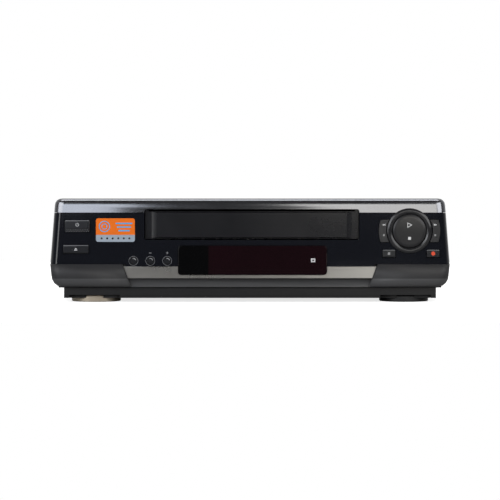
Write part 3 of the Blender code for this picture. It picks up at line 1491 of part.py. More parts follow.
def make_capstan():
    centre = (CAPSTAN_X, CAPSTAN_Y, 0)
    bore = PIN_RADIUS + GAP
    top = FLYWHEEL_FOOT + FLYWHEEL_HEIGHT
    housing = [
        (bore, HOUSING_TOP),
        (CAPSTAN_HOUSING, HOUSING_TOP),
        (CAPSTAN_HOUSING, DECK_TOP + ARM_WALL),
        (CAPSTAN_FLANGE, DECK_TOP + ARM_WALL),
        (CAPSTAN_FLANGE, DECK_TOP + GAP),
        (CAPSTAN_HOUSING, DECK_TOP + GAP),
        (CAPSTAN_HOUSING, top + GAP),
        (bore, top + GAP),
    ]
    make_part(turned("capstan_motor", housing, centre, (0, 0, 1), 16), "capstan_motor", ZINC)
    rim = FLYWHEEL_RADIUS - ARM_WALL * 2
    shaft = [
        (0, TAPE_TOP),
        (PIN_RADIUS, TAPE_TOP),
        (PIN_RADIUS, top),
        (FLYWHEEL_RADIUS, top),
        (FLYWHEEL_RADIUS, FLYWHEEL_FOOT),
        (rim, FLYWHEEL_FOOT),
        (rim, FLYWHEEL_FOOT + ARM_WALL),
        (0, FLYWHEEL_FOOT + ARM_WALL),
    ]
    make_part(turned("capstan", shaft, centre, (0, 0, 1), 28), "capstan", STEEL)


def make_pinch_roller():
    end = (PINCH_X + PINCH_ARM * cos(PINCH_REST), PINCH_Y + PINCH_ARM * sin(PINCH_REST))
    pivot = (PINCH_X, PINCH_Y)
    low = DECK_TOP + GAP + ARM_WALL
    arm = sheet("pinch_arm", [capsule(pivot, end, ARM_RADIUS)], "Z", low, low + ARM_WALL)
    bore = rod("arm_bore", (*pivot, 0), (*pivot, TAPE_TOP), PIN_RADIUS + GAP, segments=16)
    hub = rod("arm_hub", (*pivot, DECK_TOP + GAP), (*pivot, DECK_TOP + PIN_HEIGHT), ARM_RADIUS, segments=24)
    join(arm, hub)
    cut(arm, bore)
    join(arm, rod("roller_pin", (*end, low + BITE), (*end, TAPE_TOP), PIN_RADIUS, segments=16))
    make_part(arm, "pinch_arm", ZINC, (*pivot, low))
    bore_radius = PIN_RADIUS + GAP
    profile = [
        (bore_radius, TAPE_TOP - ARM_WALL),
        (PINCH_ROLLER_RADIUS - EDGE_CHAMFER, TAPE_TOP - ARM_WALL),
        (PINCH_ROLLER_RADIUS, TAPE_TOP - ARM_WALL - EDGE_CHAMFER),
        (PINCH_ROLLER_RADIUS, PINCH_ROLLER_FOOT),
        (ARM_RADIUS, PINCH_ROLLER_FOOT),
        (ARM_RADIUS, low + ARM_WALL + GAP),
        (bore_radius, low + ARM_WALL + GAP),
    ]
    make_part(turned("pinch_roller", profile, (*end, 0), (0, 0, 1)), "pinch_roller", RUBBER)


def make_reels():
    bore = PIN_RADIUS + GAP
    foot = DECK_TOP + GAP
    for name, x in reel_places().items():
        profile = [
            (0, REEL_TOP),
            (REEL_SPINDLE_RADIUS / 2, REEL_TOP),
            (REEL_SPINDLE_RADIUS, REEL_TOP - REEL_SPINDLE_RADIUS),
            (REEL_SPINDLE_RADIUS, REEL_HUB_TOP),
            (REEL_HUB_RADIUS, REEL_HUB_TOP),
            (REEL_HUB_RADIUS, REEL_TABLE_TOP),
            (REEL_RADIUS, REEL_TABLE_TOP),
            (REEL_RADIUS, foot + ARM_WALL / 2),
            (REEL_HUB_RADIUS, foot),
            (bore, foot),
            (bore, DECK_TOP + PIN_HEIGHT + GAP),
            (0, DECK_TOP + PIN_HEIGHT + GAP),
        ]
        reel = turned(name, profile, (x, REEL_Y, 0), (0, 0, 1), 20)
        for turn in range(3):
            angle = 2 * pi * turn / 3
            out = REEL_SPINDLE_RADIUS + ARM_WALL / 2
            low = (0, -EDGE_CHAMFER, REEL_HUB_TOP - BITE)
            fin = block(name + "_fin", low, (out, EDGE_CHAMFER, REEL_TOP - REEL_SPINDLE_RADIUS))
            fin.data.transform(Matrix.Translation((x, REEL_Y, 0)) @ Matrix.Rotation(angle, 4, "Z"))
            join(reel, fin)
        make_part(reel, name, IVORY)


def make_guides():
    """The two guides that draw the tape round the drum, in their deck slots."""
    foot = DECK_TOP + GAP
    for name, side in (("supply_guide", -1), ("takeup_guide", 1)):
        start, _ = guide_path(side)
        profile = [
            (0, TAPE_TOP),
            (ROLLER_RADIUS, TAPE_TOP),
            (ROLLER_RADIUS, TAPE_TOP - ARM_WALL),
            (PIN_RADIUS, TAPE_TOP - ARM_WALL),
            (PIN_RADIUS, foot + GUIDE_BASE + ARM_WALL),
            (ROLLER_RADIUS, foot + GUIDE_BASE + ARM_WALL),
            (ROLLER_RADIUS, foot + GUIDE_BASE),
            (GUIDE_RADIUS, foot + GUIDE_BASE),
            (GUIDE_RADIUS, foot),
            (PIN_RADIUS, foot),
            (PIN_RADIUS, DECK_Z - ARM_WALL),
            (0, DECK_Z - ARM_WALL),
        ]
        make_part(turned(name, profile, (*start, 0), (0, 0, 1), 12), name, STEEL)


def make_tension_arm():
    pivot = (TENSION_X, TENSION_Y)
    end_x = TENSION_X + TENSION_ARM * cos(TENSION_REST)
    end = (end_x, TENSION_Y + TENSION_ARM * sin(TENSION_REST))
    low = DECK_TOP + GAP + ARM_WALL
    arm = sheet("tension_arm", [capsule(pivot, end, ARM_RADIUS / 3 * 2)], "Z", low, low + ARM_WALL)
    hub_foot = (*pivot, DECK_TOP + GAP)
    join(arm, rod("tension_hub", hub_foot, (*pivot, DECK_TOP + PIN_HEIGHT), ARM_RADIUS, segments=24))
    cut(arm, rod("tension_bore", (*pivot, 0), (*pivot, TAPE_TOP), PIN_RADIUS + GAP, segments=16))
    join(arm, rod("tension_pole", (*end, low + BITE), (*end, TAPE_TOP), PIN_RADIUS, segments=16))
    make_part(arm, "tension_arm", ZINC, (*pivot, low))


def make_heads():
    """The full-width erase head and the sound and control head, each on its post."""
    for name, x, y in (("erase_head", ERASE_X, ERASE_Y), ("audio_head", AUDIO_X, AUDIO_Y)):
        profile = [
            (x - HEAD_WIDTH / 2, y + HEAD_DEPTH / 2),
            (x - HEAD_WIDTH / 2, y - HEAD_DEPTH / 4),
            (x - HEAD_WIDTH / 6, y - HEAD_DEPTH / 2),
            (x + HEAD_WIDTH / 6, y - HEAD_DEPTH / 2),
            (x + HEAD_WIDTH / 2, y - HEAD_DEPTH / 4),
            (x + HEAD_WIDTH / 2, y + HEAD_DEPTH / 2),
        ]
        head = sheet(name, [profile], "Z", HEAD_FOOT, TAPE_TOP)
        start = (x, y, DECK_TOP + ARM_WALL / 2)
        join(head, rod(name + "_post", start, (x, y, HEAD_FOOT + BITE), ARM_RADIUS / 2, segments=12))
        base = rectangle(x - HEAD_WIDTH, y - HEAD_DEPTH / 2, x + HEAD_WIDTH, y + HEAD_DEPTH / 2)
        join(head, sheet(name + "_base", [base], "Z", DECK_TOP + GAP, DECK_TOP + GAP + ARM_WALL))
        make_part(head, name, STEEL)


def lift_pin_places():
    return (BASKET_FRONT + LIFT_PIN_INSET, BASKET_BACK - LIFT_PIN_INSET)


def slide_pin_places():
    middle = (CARRIAGE_FRONT + CARRIAGE_BACK) / 2
    return (middle - SLIDE_PIN_PITCH / 2, middle + SLIDE_PIN_PITCH / 2)


def make_basket():
    """The cassette's basket: a roof, two walls and a ledge along each side."""
    half = BASKET_HALF
    outer = BASKET_OUTER
    floor = BASKET_FLOOR
    roof = BASKET_ROOF
    wall = BASKET_WALL
    ledge = half - BASKET_LEDGE
    right = [
        (ledge, floor - wall),
        (outer, floor - wall),
        (outer, roof + wall),
    ]
    inside = [(half, roof), (half, floor), (ledge, floor)]
    outline = [(SLOT_X + x, z) for x, z in right]
    outline += [(SLOT_X - x, z) for x, z in reversed(right)]
    outline += [(SLOT_X - x, z) for x, z in reversed(inside)]
    outline += [(SLOT_X + x, z) for x, z in inside]
    basket = sheet("cassette_basket", [outline], "Y", BASKET_FRONT, BASKET_BACK)
    for side in (-1, 1):
        for y in lift_pin_places():
            start = (SLOT_X + side * (outer - wall / 2), y, LIFT_PIN_Z)
            end = (SLOT_X + side * SIDE_OUT, y, LIFT_PIN_Z)
            join(basket, rod("lift_pin", start, end, LIFT_PIN_RADIUS, segments=12))
    make_part(basket, "cassette_basket", ZINC, (SLOT_X, BASKET_FRONT, BASKET_FLOOR))


def rack_outline():
    """The right side plate's lower edge as rack teeth, from front to back, as (y, z)."""
    pitch = pi * GEAR_MODULE
    root = RACK_PITCH_Z + DEDENDUM_SHARE * GEAR_MODULE
    tip = RACK_PITCH_Z - ADDENDUM_SHARE * GEAR_MODULE
    root_half = pitch * TOOTH_SHARE - pitch * TIP_SHARE / 2
    tip_half = pitch * TIP_SHARE / 2
    points = []
    count = int((CARRIAGE_BACK - CARRIAGE_FRONT - pitch) / 2 / pitch)
    for tooth in range(-count, count + 1):
        middle = (CARRIAGE_FRONT + CARRIAGE_BACK) / 2 + tooth * pitch
        points.append((middle - root_half, root))
        points.append((middle - tip_half, tip))
        points.append((middle + tip_half, tip))
        points.append((middle + root_half, root))
    return points


def side_holes():
    """Vertical slots of the carriage's side plates for the basket's pins, as (y, z)."""
    slot = LIFT_PIN_RADIUS + GAP
    return [capsule((y, LIFT_PIN_Z - LIFT_TRAVEL), (y, LIFT_PIN_Z), slot, 4) for y in lift_pin_places()]


def make_carriage():
    """Two slotted side plates joined by a bridge; the right one carries the rack."""
    top = CARRIAGE_TOP
    half = BRIDGE_DEPTH / 2
    middle = (CARRIAGE_FRONT + CARRIAGE_BACK) / 2
    crest = [
        (CARRIAGE_BACK, top),
        (middle + half, top),
        (middle + half, BRIDGE_Z + BASKET_WALL),
        (middle - half, BRIDGE_Z + BASKET_WALL),
        (middle - half, top),
        (CARRIAGE_FRONT, top),
    ]
    plain = [(CARRIAGE_FRONT, CARRIAGE_FOOT), (CARRIAGE_BACK, CARRIAGE_FOOT)]
    teeth = rack_outline()
    root = teeth[0][1]
    toothed = [(CARRIAGE_FRONT, root)] + teeth + [(CARRIAGE_BACK, root)]
    left = sheet("carriage", [plain + crest] + side_holes(), "X", SLOT_X - SIDE_OUT, SLOT_X - SIDE_IN)
    right = sheet("rack_side", [toothed + crest] + side_holes(), "X", SLOT_X + SIDE_IN, SLOT_X + SIDE_OUT)
    low = (SLOT_X - SIDE_OUT + BITE, middle - half + BITE, BRIDGE_Z)
    high = (SLOT_X + SIDE_OUT - BITE, middle + half - BITE, BRIDGE_Z + BASKET_WALL - BITE / 4)
    join(left, block("bridge", low, high))
    # the exact solver leaves the row of teeth open
    boolean(left, right, "UNION", "MANIFOLD")
    for side in (-1, 1):
        for y in slide_pin_places():
            start = (SLOT_X + side * (SIDE_OUT - BITE), y, SLIDE_PIN_Z)
            end = (SLOT_X + side * BRACKET_OUT, y, SLIDE_PIN_Z)
            boolean(left, rod("slide_pin", start, end, LIFT_PIN_RADIUS, segments=12), "UNION", "MANIFOLD")
    make_part(left, "carriage", ZINC, (SLOT_X, middle, CARRIAGE_FOOT))


def make_brackets():
    """Fixed side brackets with a level slot for the carriage's pins and a foot each."""
    foot = DECK_TOP + GAP
    slot = LIFT_PIN_RADIUS + GAP
    first, last = slide_pin_places()
    window = capsule((first, SLIDE_PIN_Z), (last + SLIDE_TRAVEL, SLIDE_PIN_Z), slot, 4)
    bore = arc((GEAR_Y, GEAR_Z), GEAR_SHAFT + GAP, 0, 345, 15)
    step = (CARRIAGE_FOOT + SLIDE_PIN_Z) / 2
    outline = [
        (CARRIAGE_FRONT, foot),
        (BRACKET_BACK, foot),
        (BRACKET_BACK, step),
        (BRACKET_BACK - SIDE_MARGIN, BRACKET_TOP),
        (CARRIAGE_FRONT, BRACKET_TOP),
    ]
    for name, side in (("bracket_left", -1), ("bracket_right", 1)):
        near, far = sorted((SLOT_X + side * BRACKET_IN, SLOT_X + side * BRACKET_OUT))
        outlines = [outline, window]
        if side > 0:
            outlines.append(bore)
        bracket = sheet(name, outlines, "X", near, far)
        foot_end = BRACKET_OUT + BRACKET_FOOT_WIDTH
        near, far = sorted((SLOT_X + side * (BRACKET_OUT - BITE), SLOT_X + side * foot_end))
        for y in (CARRIAGE_FRONT + DECK_INSET, BRACKET_BACK - DECK_INSET):
            low = (near, y - DECK_INSET + BITE, foot)
            join(bracket, block(name + "_foot", low, (far, y + DECK_INSET - BITE, foot + BRACKET_WALL)))
        make_part(bracket, name, ZINC)


def gear_outline():
    """A spur gear's outline: tapered teeth that leave the rack some backlash."""
    pitch_angle = 2 * pi / GEAR_TEETH
    root = PITCH_RADIUS - DEDENDUM_SHARE * GEAR_MODULE
    tip = PITCH_RADIUS + ADDENDUM_SHARE * GEAR_MODULE
    points = []
    for tooth in range(GEAR_TEETH):
        # a gap of the rack stands over the gear, so a tooth points straight up into it
        middle = pi / 2 + tooth * pitch_angle + gear_turn()
        root_half = pitch_angle * TOOTH_SHARE / 2 * ROOT_FLARE_SHARE
        tip_half = pitch_angle * TIP_SHARE / 2
        for radius, angle in (
            (root, middle - root_half),
            (tip, middle - tip_half),
            (tip, middle + tip_half),
            (root, middle + root_half),
        ):
            points.append((GEAR_Y + radius * cos(angle), GEAR_Z + radius * sin(angle)))
    return points


def gear_turn():
    """How far the gear is turned at rest for its teeth to stand in the rack's gaps."""
    pitch = pi * GEAR_MODULE
    gap_middle = (CARRIAGE_FRONT + CARRIAGE_BACK) / 2 + pitch / 2
    offset = (gap_middle - GEAR_Y) % pitch
    return -offset / PITCH_RADIUS


def pulley_profile(radius, start, width):
    """A grooved pulley along its shaft, as (radius, height) from top to bottom."""
    groove = PULLEY_GROOVE
    side = (width - BELT - GAP * 2) / 2
    return [
        (radius + groove, start + width),
        (radius + groove, start + width - side),
        (radius, start + width - side),
        (radius, start + side),
        (radius + groove, start + side),
        (radius + groove, start),
    ]


def make_loading_gear():
    pulley_start = SLOT_X + BRACKET_OUT + PULLEY_RUN
    inner = SLOT_X + SIDE_IN - BITE
    gear_end = SLOT_X + SIDE_OUT + BITE
    profile = [(0, pulley_start + PULLEY_WIDTH - inner)]
    profile += pulley_profile(GEAR_PULLEY_RADIUS, pulley_start - inner, PULLEY_WIDTH)
    profile += [(GEAR_SHAFT, pulley_start - inner), (GEAR_SHAFT, BITE), (0, BITE)]
    gear = turned("loading_gear", profile, (inner, GEAR_Y, GEAR_Z), (1, 0, 0))
    join(gear, sheet("gear_teeth", [gear_outline()], "X", inner, gear_end))
    make_part(gear, "loading_gear", IVORY)


def belt_loop(grow):
    """The belt's loop round both pulleys, grown outwards from their grooves."""
    across = MOTOR_Y - GEAR_Y
    up = MOTOR_Z - GEAR_Z
    distance = hypot(across, up)
    big = GEAR_PULLEY_RADIUS + grow
    small = MOTOR_PULLEY_RADIUS + grow
    lean = asin((big - small) / distance) * 180 / pi
    angle = atan2(up, across) * 180 / pi
    first = arc((GEAR_Y, GEAR_Z), big, angle + 90 - lean, angle + 270 + lean, 14)
    second = arc((MOTOR_Y, MOTOR_Z), small, angle - 90 + lean, angle + 90 - lean, 8)
    return first + second


def make_loading_drive():
    middle = SLOT_X + BRACKET_OUT + PULLEY_RUN + PULLEY_WIDTH / 2
    loops = [belt_loop(GAP + BELT), belt_loop(GAP)]
    belt = sheet("loading_belt", loops, "X", middle - BELT / 2, middle + BELT / 2)
    make_part(belt, "loading_belt", RUBBER)
    start = SLOT_X + BRACKET_OUT + PULLEY_RUN
    profile = [(0, PULLEY_WIDTH)]
    profile += pulley_profile(MOTOR_PULLEY_RADIUS, 0, PULLEY_WIDTH)
    profile += [(0, 0)]
    pulley = turned("motor_pulley", profile, (start, MOTOR_Y, MOTOR_Z), (1, 0, 0), 16)
    make_part(pulley, "motor_pulley", IVORY)
    face = start + PULLEY_WIDTH + GAP
    body = [
        (0, MOTOR_BOSS + MOTOR_LENGTH),
        (MOTOR_RADIUS - EDGE_CHAMFER, MOTOR_BOSS + MOTOR_LENGTH),
        (MOTOR_RADIUS, MOTOR_BOSS + MOTOR_LENGTH - EDGE_CHAMFER),
        (MOTOR_RADIUS, MOTOR_BOSS),
        (MOTOR_BOSS, MOTOR_BOSS),
        (MOTOR_BOSS, 0),
        (0, 0),
    ]
    motor = turned("loading_motor", body, (face, MOTOR_Y, MOTOR_Z), (1, 0, 0))
    low = (face + MOTOR_BOSS * 2, MOTOR_Y - MOTOR_RADIUS / 2, CHASSIS_FLOOR_TOP + GAP)
    high = (face + MOTOR_LENGTH, MOTOR_Y + MOTOR_RADIUS / 2, MOTOR_Z - MOTOR_RADIUS / 2)
    join(motor, block("motor_cradle", low, high))
    make_part(motor, "loading_motor", GREY_PLASTIC)


def make_case():
    make_chassis()
    make_feet()
    make_cover()
    make_back()
    make_sockets()
    make_boards()
    make_power_supply()


def make_deck():
    make_deck_plate()
    make_drum()
    make_capstan()
    make_pinch_roller()
    make_reels()
    make_guides()
    make_tension_arm()
    make_heads()


def make_lift():
    make_basket()
    make_carriage()
    make_brackets()
    make_loading_gear()
    make_loading_drive()


def main():
    make_front()
    make_case()
    make_deck()
    make_lift()


main()
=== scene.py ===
"""The looks of a free-standing video cassette recorder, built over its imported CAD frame.

Metres, +Z up. The front faces -Y, +X is to the right as seen from the front.
"""

from __future__ import annotations

import json
import logging
import math
from collections.abc import Iterable, Sequence
from dataclasses import dataclass
from enum import Enum
from typing import Protocol

import bmesh
import bpy
from mathutils import Matrix, Vector
from mathutils.bvhtree import BVHTree

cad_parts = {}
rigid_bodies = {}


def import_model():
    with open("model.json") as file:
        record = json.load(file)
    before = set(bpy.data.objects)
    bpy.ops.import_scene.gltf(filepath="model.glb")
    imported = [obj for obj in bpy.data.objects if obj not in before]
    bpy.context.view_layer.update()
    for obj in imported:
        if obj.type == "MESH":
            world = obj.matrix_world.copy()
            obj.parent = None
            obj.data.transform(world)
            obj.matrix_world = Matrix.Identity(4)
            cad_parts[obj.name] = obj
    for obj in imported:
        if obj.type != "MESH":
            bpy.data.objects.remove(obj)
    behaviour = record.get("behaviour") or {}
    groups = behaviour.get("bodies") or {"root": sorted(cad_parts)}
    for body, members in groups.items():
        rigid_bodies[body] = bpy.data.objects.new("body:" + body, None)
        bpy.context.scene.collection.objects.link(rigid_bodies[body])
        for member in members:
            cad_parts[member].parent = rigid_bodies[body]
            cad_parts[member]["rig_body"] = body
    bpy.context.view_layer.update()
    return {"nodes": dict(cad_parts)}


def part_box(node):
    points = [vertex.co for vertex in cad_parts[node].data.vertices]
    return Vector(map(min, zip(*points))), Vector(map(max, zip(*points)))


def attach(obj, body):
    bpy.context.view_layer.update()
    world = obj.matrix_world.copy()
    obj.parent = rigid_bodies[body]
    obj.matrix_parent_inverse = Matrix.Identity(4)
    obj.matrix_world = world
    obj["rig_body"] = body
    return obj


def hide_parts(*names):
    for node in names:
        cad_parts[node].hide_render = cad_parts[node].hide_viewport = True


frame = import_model()
LOG = logging.getLogger("video_recorder")

Point = tuple[float, float]
Place = tuple[float, float, float]
Colour = tuple[float, float, float]

MM = 0.001
PROUD = 0.04 * MM
SUNK = 0.03 * MM
MERGE = 0.005 * MM
RAY_START = 10 * MM
RAY_REACH = 60 * MM
SMOOTH_ANGLE = math.radians(32)
FLAT_ANGLE = math.radians(0.4)
BEVEL_ANGLE = math.radians(38)
BEVEL_STEPS = 2
ARC_STEPS = 24
CORNER_STEPS = 6


# Shader nodes


def feed(tree: bpy.types.NodeTree, socket: bpy.types.NodeSocket, value: object) -> None:
    """Links a socket to another one, or gives it a plain value.

    Args:
        tree: the material's or the world's tree.
        socket: the input socket.
        value: an output socket, a number or a colour.
    """
    if isinstance(value, bpy.types.NodeSocket):
        tree.links.new(value, socket)
    else:
        socket.default_value = value


def blend(
    tree: bpy.types.NodeTree, factor: object, one: object, other: object, kind: str = "RGBA"
) -> bpy.types.NodeSocket:
    """Mixes two colours or numbers.

    Args:
        tree: the material's tree.
        factor: how much of the other one shows.
        one: what shows at factor 0.
        other: what shows at factor 1.
        kind: RGBA for colours, FLOAT for numbers.

    Returns:
        The socket of the mixed value.
    """
    mix = tree.nodes.new("ShaderNodeMix")
    mix.data_type = kind
    for name, value in (("Factor", factor), ("A", one), ("B", other)):
        feed(tree, mix.inputs[name], value)
    return mix.outputs["Result"]


def maths(tree: bpy.types.NodeTree, operation: str, *terms: object) -> bpy.types.NodeSocket:
    """Adds a sum, a product or a comparison.

    Args:
        tree: the material's or the world's tree.
        operation: the Math node's operation.
        terms: its sockets or numbers, in order.

    Returns:
        The result's socket.
    """
    node = tree.nodes.new("ShaderNodeMath")
    node.operation = operation
    for socket, term in zip(node.inputs, terms):
        feed(tree, socket, term)
    return node.outputs["Value"]


def spread_over(
    tree: bpy.types.NodeTree, value: bpy.types.NodeSocket, source: Point, target: Point, eased: bool = False
) -> bpy.types.NodeSocket:
    """Maps one range of a value onto another range.

    Args:
        tree: the material's or the world's tree.
        value: the value's socket.
        source: the range it is read in.
        target: the range it is given.
        eased: whether the ends are eased.

    Returns:
        The mapped value's socket.
    """
    node = tree.nodes.new("ShaderNodeMapRange")
    node.interpolation_type = "SMOOTHSTEP" if eased else "LINEAR"
    node.inputs["From Min"].default_value, node.inputs["From Max"].default_value = source
    node.inputs["To Min"].default_value, node.inputs["To Max"].default_value = target
    tree.links.new(value, node.inputs["Value"])
    return node.outputs["Result"]


def axes(tree: bpy.types.NodeTree, place: bpy.types.NodeSocket) -> bpy.types.bpy_prop_collection:
    """Splits a place.

    Args:
        tree: the material's or the world's tree.
        place: the place's socket.

    Returns:
        The sockets X, Y and Z, by name.
    """
    split = tree.nodes.new("ShaderNodeSeparateXYZ")
    tree.links.new(place, split.inputs["Vector"])
    return split.outputs


# Finishes


class Grain(Enum):
    """The kinds of fine surface that a finish can have."""

    MOULDED = "spark-eroded plastic"
    POLISHED = "polished plastic"
    METALLIC = "metallic paint"
    BRUSHED = "brushed metal"
    PLATED = "zinc plate"
    POWDER = "powder coat"
    PLAIN = "plain"


# Noises as cells to a metre and octaves
CLOUD = (40.0, 4.0)
MARKS = (18.0, 6.0)
RIPPLE = (22.0, 1.0)
BRUSH_OCTAVES = 3.0
GRAIN_OCTAVES = 2.0

# What the noises are stretched and mapped to
BRUSH_STRETCH = (0.04, 1, 1)
NOISE_RANGE: Point = (0.3, 0.7)
EVEN_REACH = 0.03
WORN_REACH = 0.06
LEAST_ROUGHNESS = 0.02
COAT_ROUGHNESS = 0.04
BUMP_STRENGTH = 0.35


@dataclass(frozen=True)
class Finish:
    """One surface finish.

    Args:
        name: the material's name.
        colour: linear base colour.
        roughness: the middle of the roughness range.
        metallic: 0 for plastic, 1 for metal.
        grain: the kind of fine surface.
        spread: how far the colour wanders, as a share of itself.
        bump: depth of the grain in metres.
        scale: grain cells to a metre.
        coat: weight of a clear coat.
    """

    name: str
    colour: Colour
    roughness: float
    metallic: float = 0.0
    grain: Grain = Grain.MOULDED
    spread: float = 0.08
    bump: float = 0.00002
    scale: float = 1400.0
    coat: float = 0.0

    def material(self) -> bpy.types.Material:
        """Makes the material on its first use.

        Returns:
            The material, shared by every piece of this finish.
        """
        label = "finish_" + self.name
        found = bpy.data.materials.get(label)
        if found:
            return found
        made = bpy.data.materials.new(label)
        made.use_nodes = True
        self.wire(made.node_tree)
        return made

    def tone(self, share: float) -> tuple[float, ...]:
        """Returns the colour times a share, with full alpha."""
        return (*(channel * share for channel in self.colour), 1)

    def wire(self, tree: bpy.types.NodeTree) -> None:
        """Builds the node tree.

        Args:
            tree: the material's own tree, with its Principled BSDF.
        """
        shader = tree.nodes["Principled BSDF"]
        shader.inputs["Metallic"].default_value = self.metallic
        shader.inputs["Coat Weight"].default_value = self.coat
        shader.inputs["Coat Roughness"].default_value = COAT_ROUGHNESS
        place = tree.nodes.new("ShaderNodeTexCoord").outputs["Object"]
        cloud = self.noise(tree, place, *CLOUD)
        dark, light = self.tone(1 - self.spread), self.tone(1 + self.spread)
        tree.links.new(blend(tree, cloud, dark, light), shader.inputs["Base Color"])
        self.wire_roughness(tree, shader, place)
        if self.grain is not Grain.PLAIN:
            self.wire_bump(tree, shader, place)

    def noise(
        self,
        tree: bpy.types.NodeTree,
        place: bpy.types.NodeSocket,
        scale: float,
        detail: float,
        stretch: Sequence[float] = (1, 1, 1),
    ) -> bpy.types.NodeSocket:
        """Adds a noise texture.

        Args:
            tree: the material's tree.
            place: the Object coordinate socket.
            scale: cells to a metre.
            detail: octaves of the noise.
            stretch: how much finer the noise is along each axis.

        Returns:
            Its value socket.
        """
        mapping = tree.nodes.new("ShaderNodeMapping")
        mapping.inputs["Scale"].default_value = stretch
        made = tree.nodes.new("ShaderNodeTexNoise")
        made.inputs["Scale"].default_value = scale
        made.inputs["Detail"].default_value = detail
        tree.links.new(place, mapping.inputs["Vector"])
        tree.links.new(mapping.outputs["Vector"], made.inputs["Vector"])
        return made.outputs["Fac"]

    def wire_roughness(
        self, tree: bpy.types.NodeTree, shader: bpy.types.Node, place: bpy.types.NodeSocket
    ) -> None:
        """Lets the roughness wander with handling marks.

        Args:
            tree: the material's tree.
            shader: its Principled BSDF.
            place: the Object coordinate socket.
        """
        even = self.grain in (Grain.POLISHED, Grain.METALLIC, Grain.POWDER)
        reach = EVEN_REACH if even else WORN_REACH
        target = (max(self.roughness - reach, LEAST_ROUGHNESS), self.roughness + reach)
        marks = self.noise(tree, place, *MARKS)
        tree.links.new(spread_over(tree, marks, NOISE_RANGE, target), shader.inputs["Roughness"])

    def wire_bump(
        self, tree: bpy.types.NodeTree, shader: bpy.types.Node, place: bpy.types.NodeSocket
    ) -> None:
        """Adds the grain's relief.

        Args:
            tree: the material's tree.
            shader: its Principled BSDF.
            place: the Object coordinate socket.
        """
        if self.grain is Grain.BRUSHED:
            height = self.noise(tree, place, self.scale, BRUSH_OCTAVES, BRUSH_STRETCH)
        elif self.grain is Grain.POLISHED:
            height = self.noise(tree, place, *RIPPLE)
        elif self.grain in (Grain.PLATED, Grain.POWDER):
            cells = tree.nodes.new("ShaderNodeTexVoronoi")
            cells.inputs["Scale"].default_value = self.scale
            tree.links.new(place, cells.inputs["Vector"])
            height = cells.outputs["Distance"]
        else:
            height = self.noise(tree, place, self.scale, GRAIN_OCTAVES)
        bump = tree.nodes.new("ShaderNodeBump")
        bump.inputs["Strength"].default_value = BUMP_STRENGTH
        bump.inputs["Distance"].default_value = self.bump
        tree.links.new(height, bump.inputs["Height"])
        tree.links.new(bump.outputs["Normal"], shader.inputs["Normal"])


# Near-black painted shade, for the slot round the door and the chassis's lower edge
PAINTED_SHADE_BLACK: Colour = (0.0015, 0.0015, 0.0018)
MATTE_ROUGHNESS = 0.6
GLOSS_BLACK = Finish("piano_black", (0.0075, 0.0085, 0.0125), 0.10, grain=Grain.POLISHED, coat=0.3)
BAND_SILVER = Finish("band_silver", (0.245, 0.25, 0.268), 0.19, 0.95, Grain.METALLIC, 0.05, 0.000006, 5200)
WING_GREY = Finish("wing_grey", (0.0285, 0.0284, 0.0305), 0.52, scale=2600)
STRIP = Finish("champagne_strip", (0.55, 0.535, 0.50), 0.30, 0.88, Grain.BRUSHED, 0.10, 0.00001, 2600)
DOOR_BLACK = Finish("door_black", (0.0108, 0.0110, 0.0135), 0.30, scale=2400)
KEY_BLACK = Finish("key_black", (0.015, 0.016, 0.019), 0.28, scale=2800, coat=0.2)
# Light grey for painted highlights on the keys; the power key's pips wear it too
KEY_HIGHLIGHT_GREY = Finish("key_line", (0.20, 0.205, 0.215), 0.35, grain=Grain.PLAIN, spread=0.04)
ROCKER_GREY = Finish("rocker_grey", (0.032, 0.0325, 0.035), 0.32, scale=2800)
RING_GREY = Finish("ring_grey", (0.024, 0.0245, 0.027), 0.20, 0.2, Grain.METALLIC, 0.05, 0.000006, 5200, 0.2)
DISC_GREY = Finish("disc_grey", (0.0155, 0.0155, 0.0172), 0.36, 0.0, Grain.METALLIC, 0.05, 0.000006, 5200)
COVER = Finish("cover_powder", (0.018, 0.018, 0.019), 0.5, 0.0, Grain.POWDER, 0.05, 0.00006, 1500)
CHASSIS = Finish("chassis_black", (0.0068, 0.0068, 0.0078), 0.55, scale=1800)
FOOT_GOLD = Finish("foot_champagne", (0.58, 0.50, 0.39), 0.30, 0.35, Grain.BRUSHED, 0.10, 0.00003, 900)
# Black for the rear feet, and as painted shade for the front right foot
FOOT_BLACK_AND_SHADE = Finish("foot_black", (0.013, 0.013, 0.014), 0.45)
ZINC = Finish("zinc_plate", (0.52, 0.52, 0.50), 0.32, 1.0, Grain.PLATED, 0.12, 0.00002, 260)
STEEL = Finish("polished_steel", (0.66, 0.66, 0.67), 0.16, 1.0, Grain.BRUSHED, 0.05, 0.00001, 2600)
BOARD = Finish("board_laminate", (0.24, 0.15, 0.06), 0.5, scale=900, spread=0.2)
CONNECTOR = Finish("connector_black", (0.014, 0.014, 0.014), 0.42, scale=2200)
IVORY = Finish("ivory_plastic", (0.66, 0.63, 0.54), 0.42, scale=2200)
RUBBER = Finish("rubber", (0.012, 0.012, 0.012), 0.75, scale=1200)
MOTOR_GREY = Finish("motor_case", (0.22, 0.22, 0.22), 0.4, 0.8, Grain.BRUSHED, 0.08, 0.00001, 1800)
TUBE = Finish("tube_glass", (0.012, 0.020, 0.020), 0.08, grain=Grain.POLISHED, coat=0.4)
ALUMINIUM = Finish("aluminium", (0.60, 0.60, 0.61), 0.35, 1.0, Grain.BRUSHED, 0.06, 0.00001, 1600)
SLEEVE = Finish("capacitor_sleeve", (0.02, 0.03, 0.08), 0.3, grain=Grain.POLISHED)
CORE = Finish("laminated_core", (0.16, 0.11, 0.08), 0.55, 0.4, Grain.BRUSHED, 0.15, 0.00003, 1400)
PRINT_WHITE = Finish("print_white", (0.70, 0.71, 0.72), 0.5, grain=Grain.PLAIN, spread=0.04)
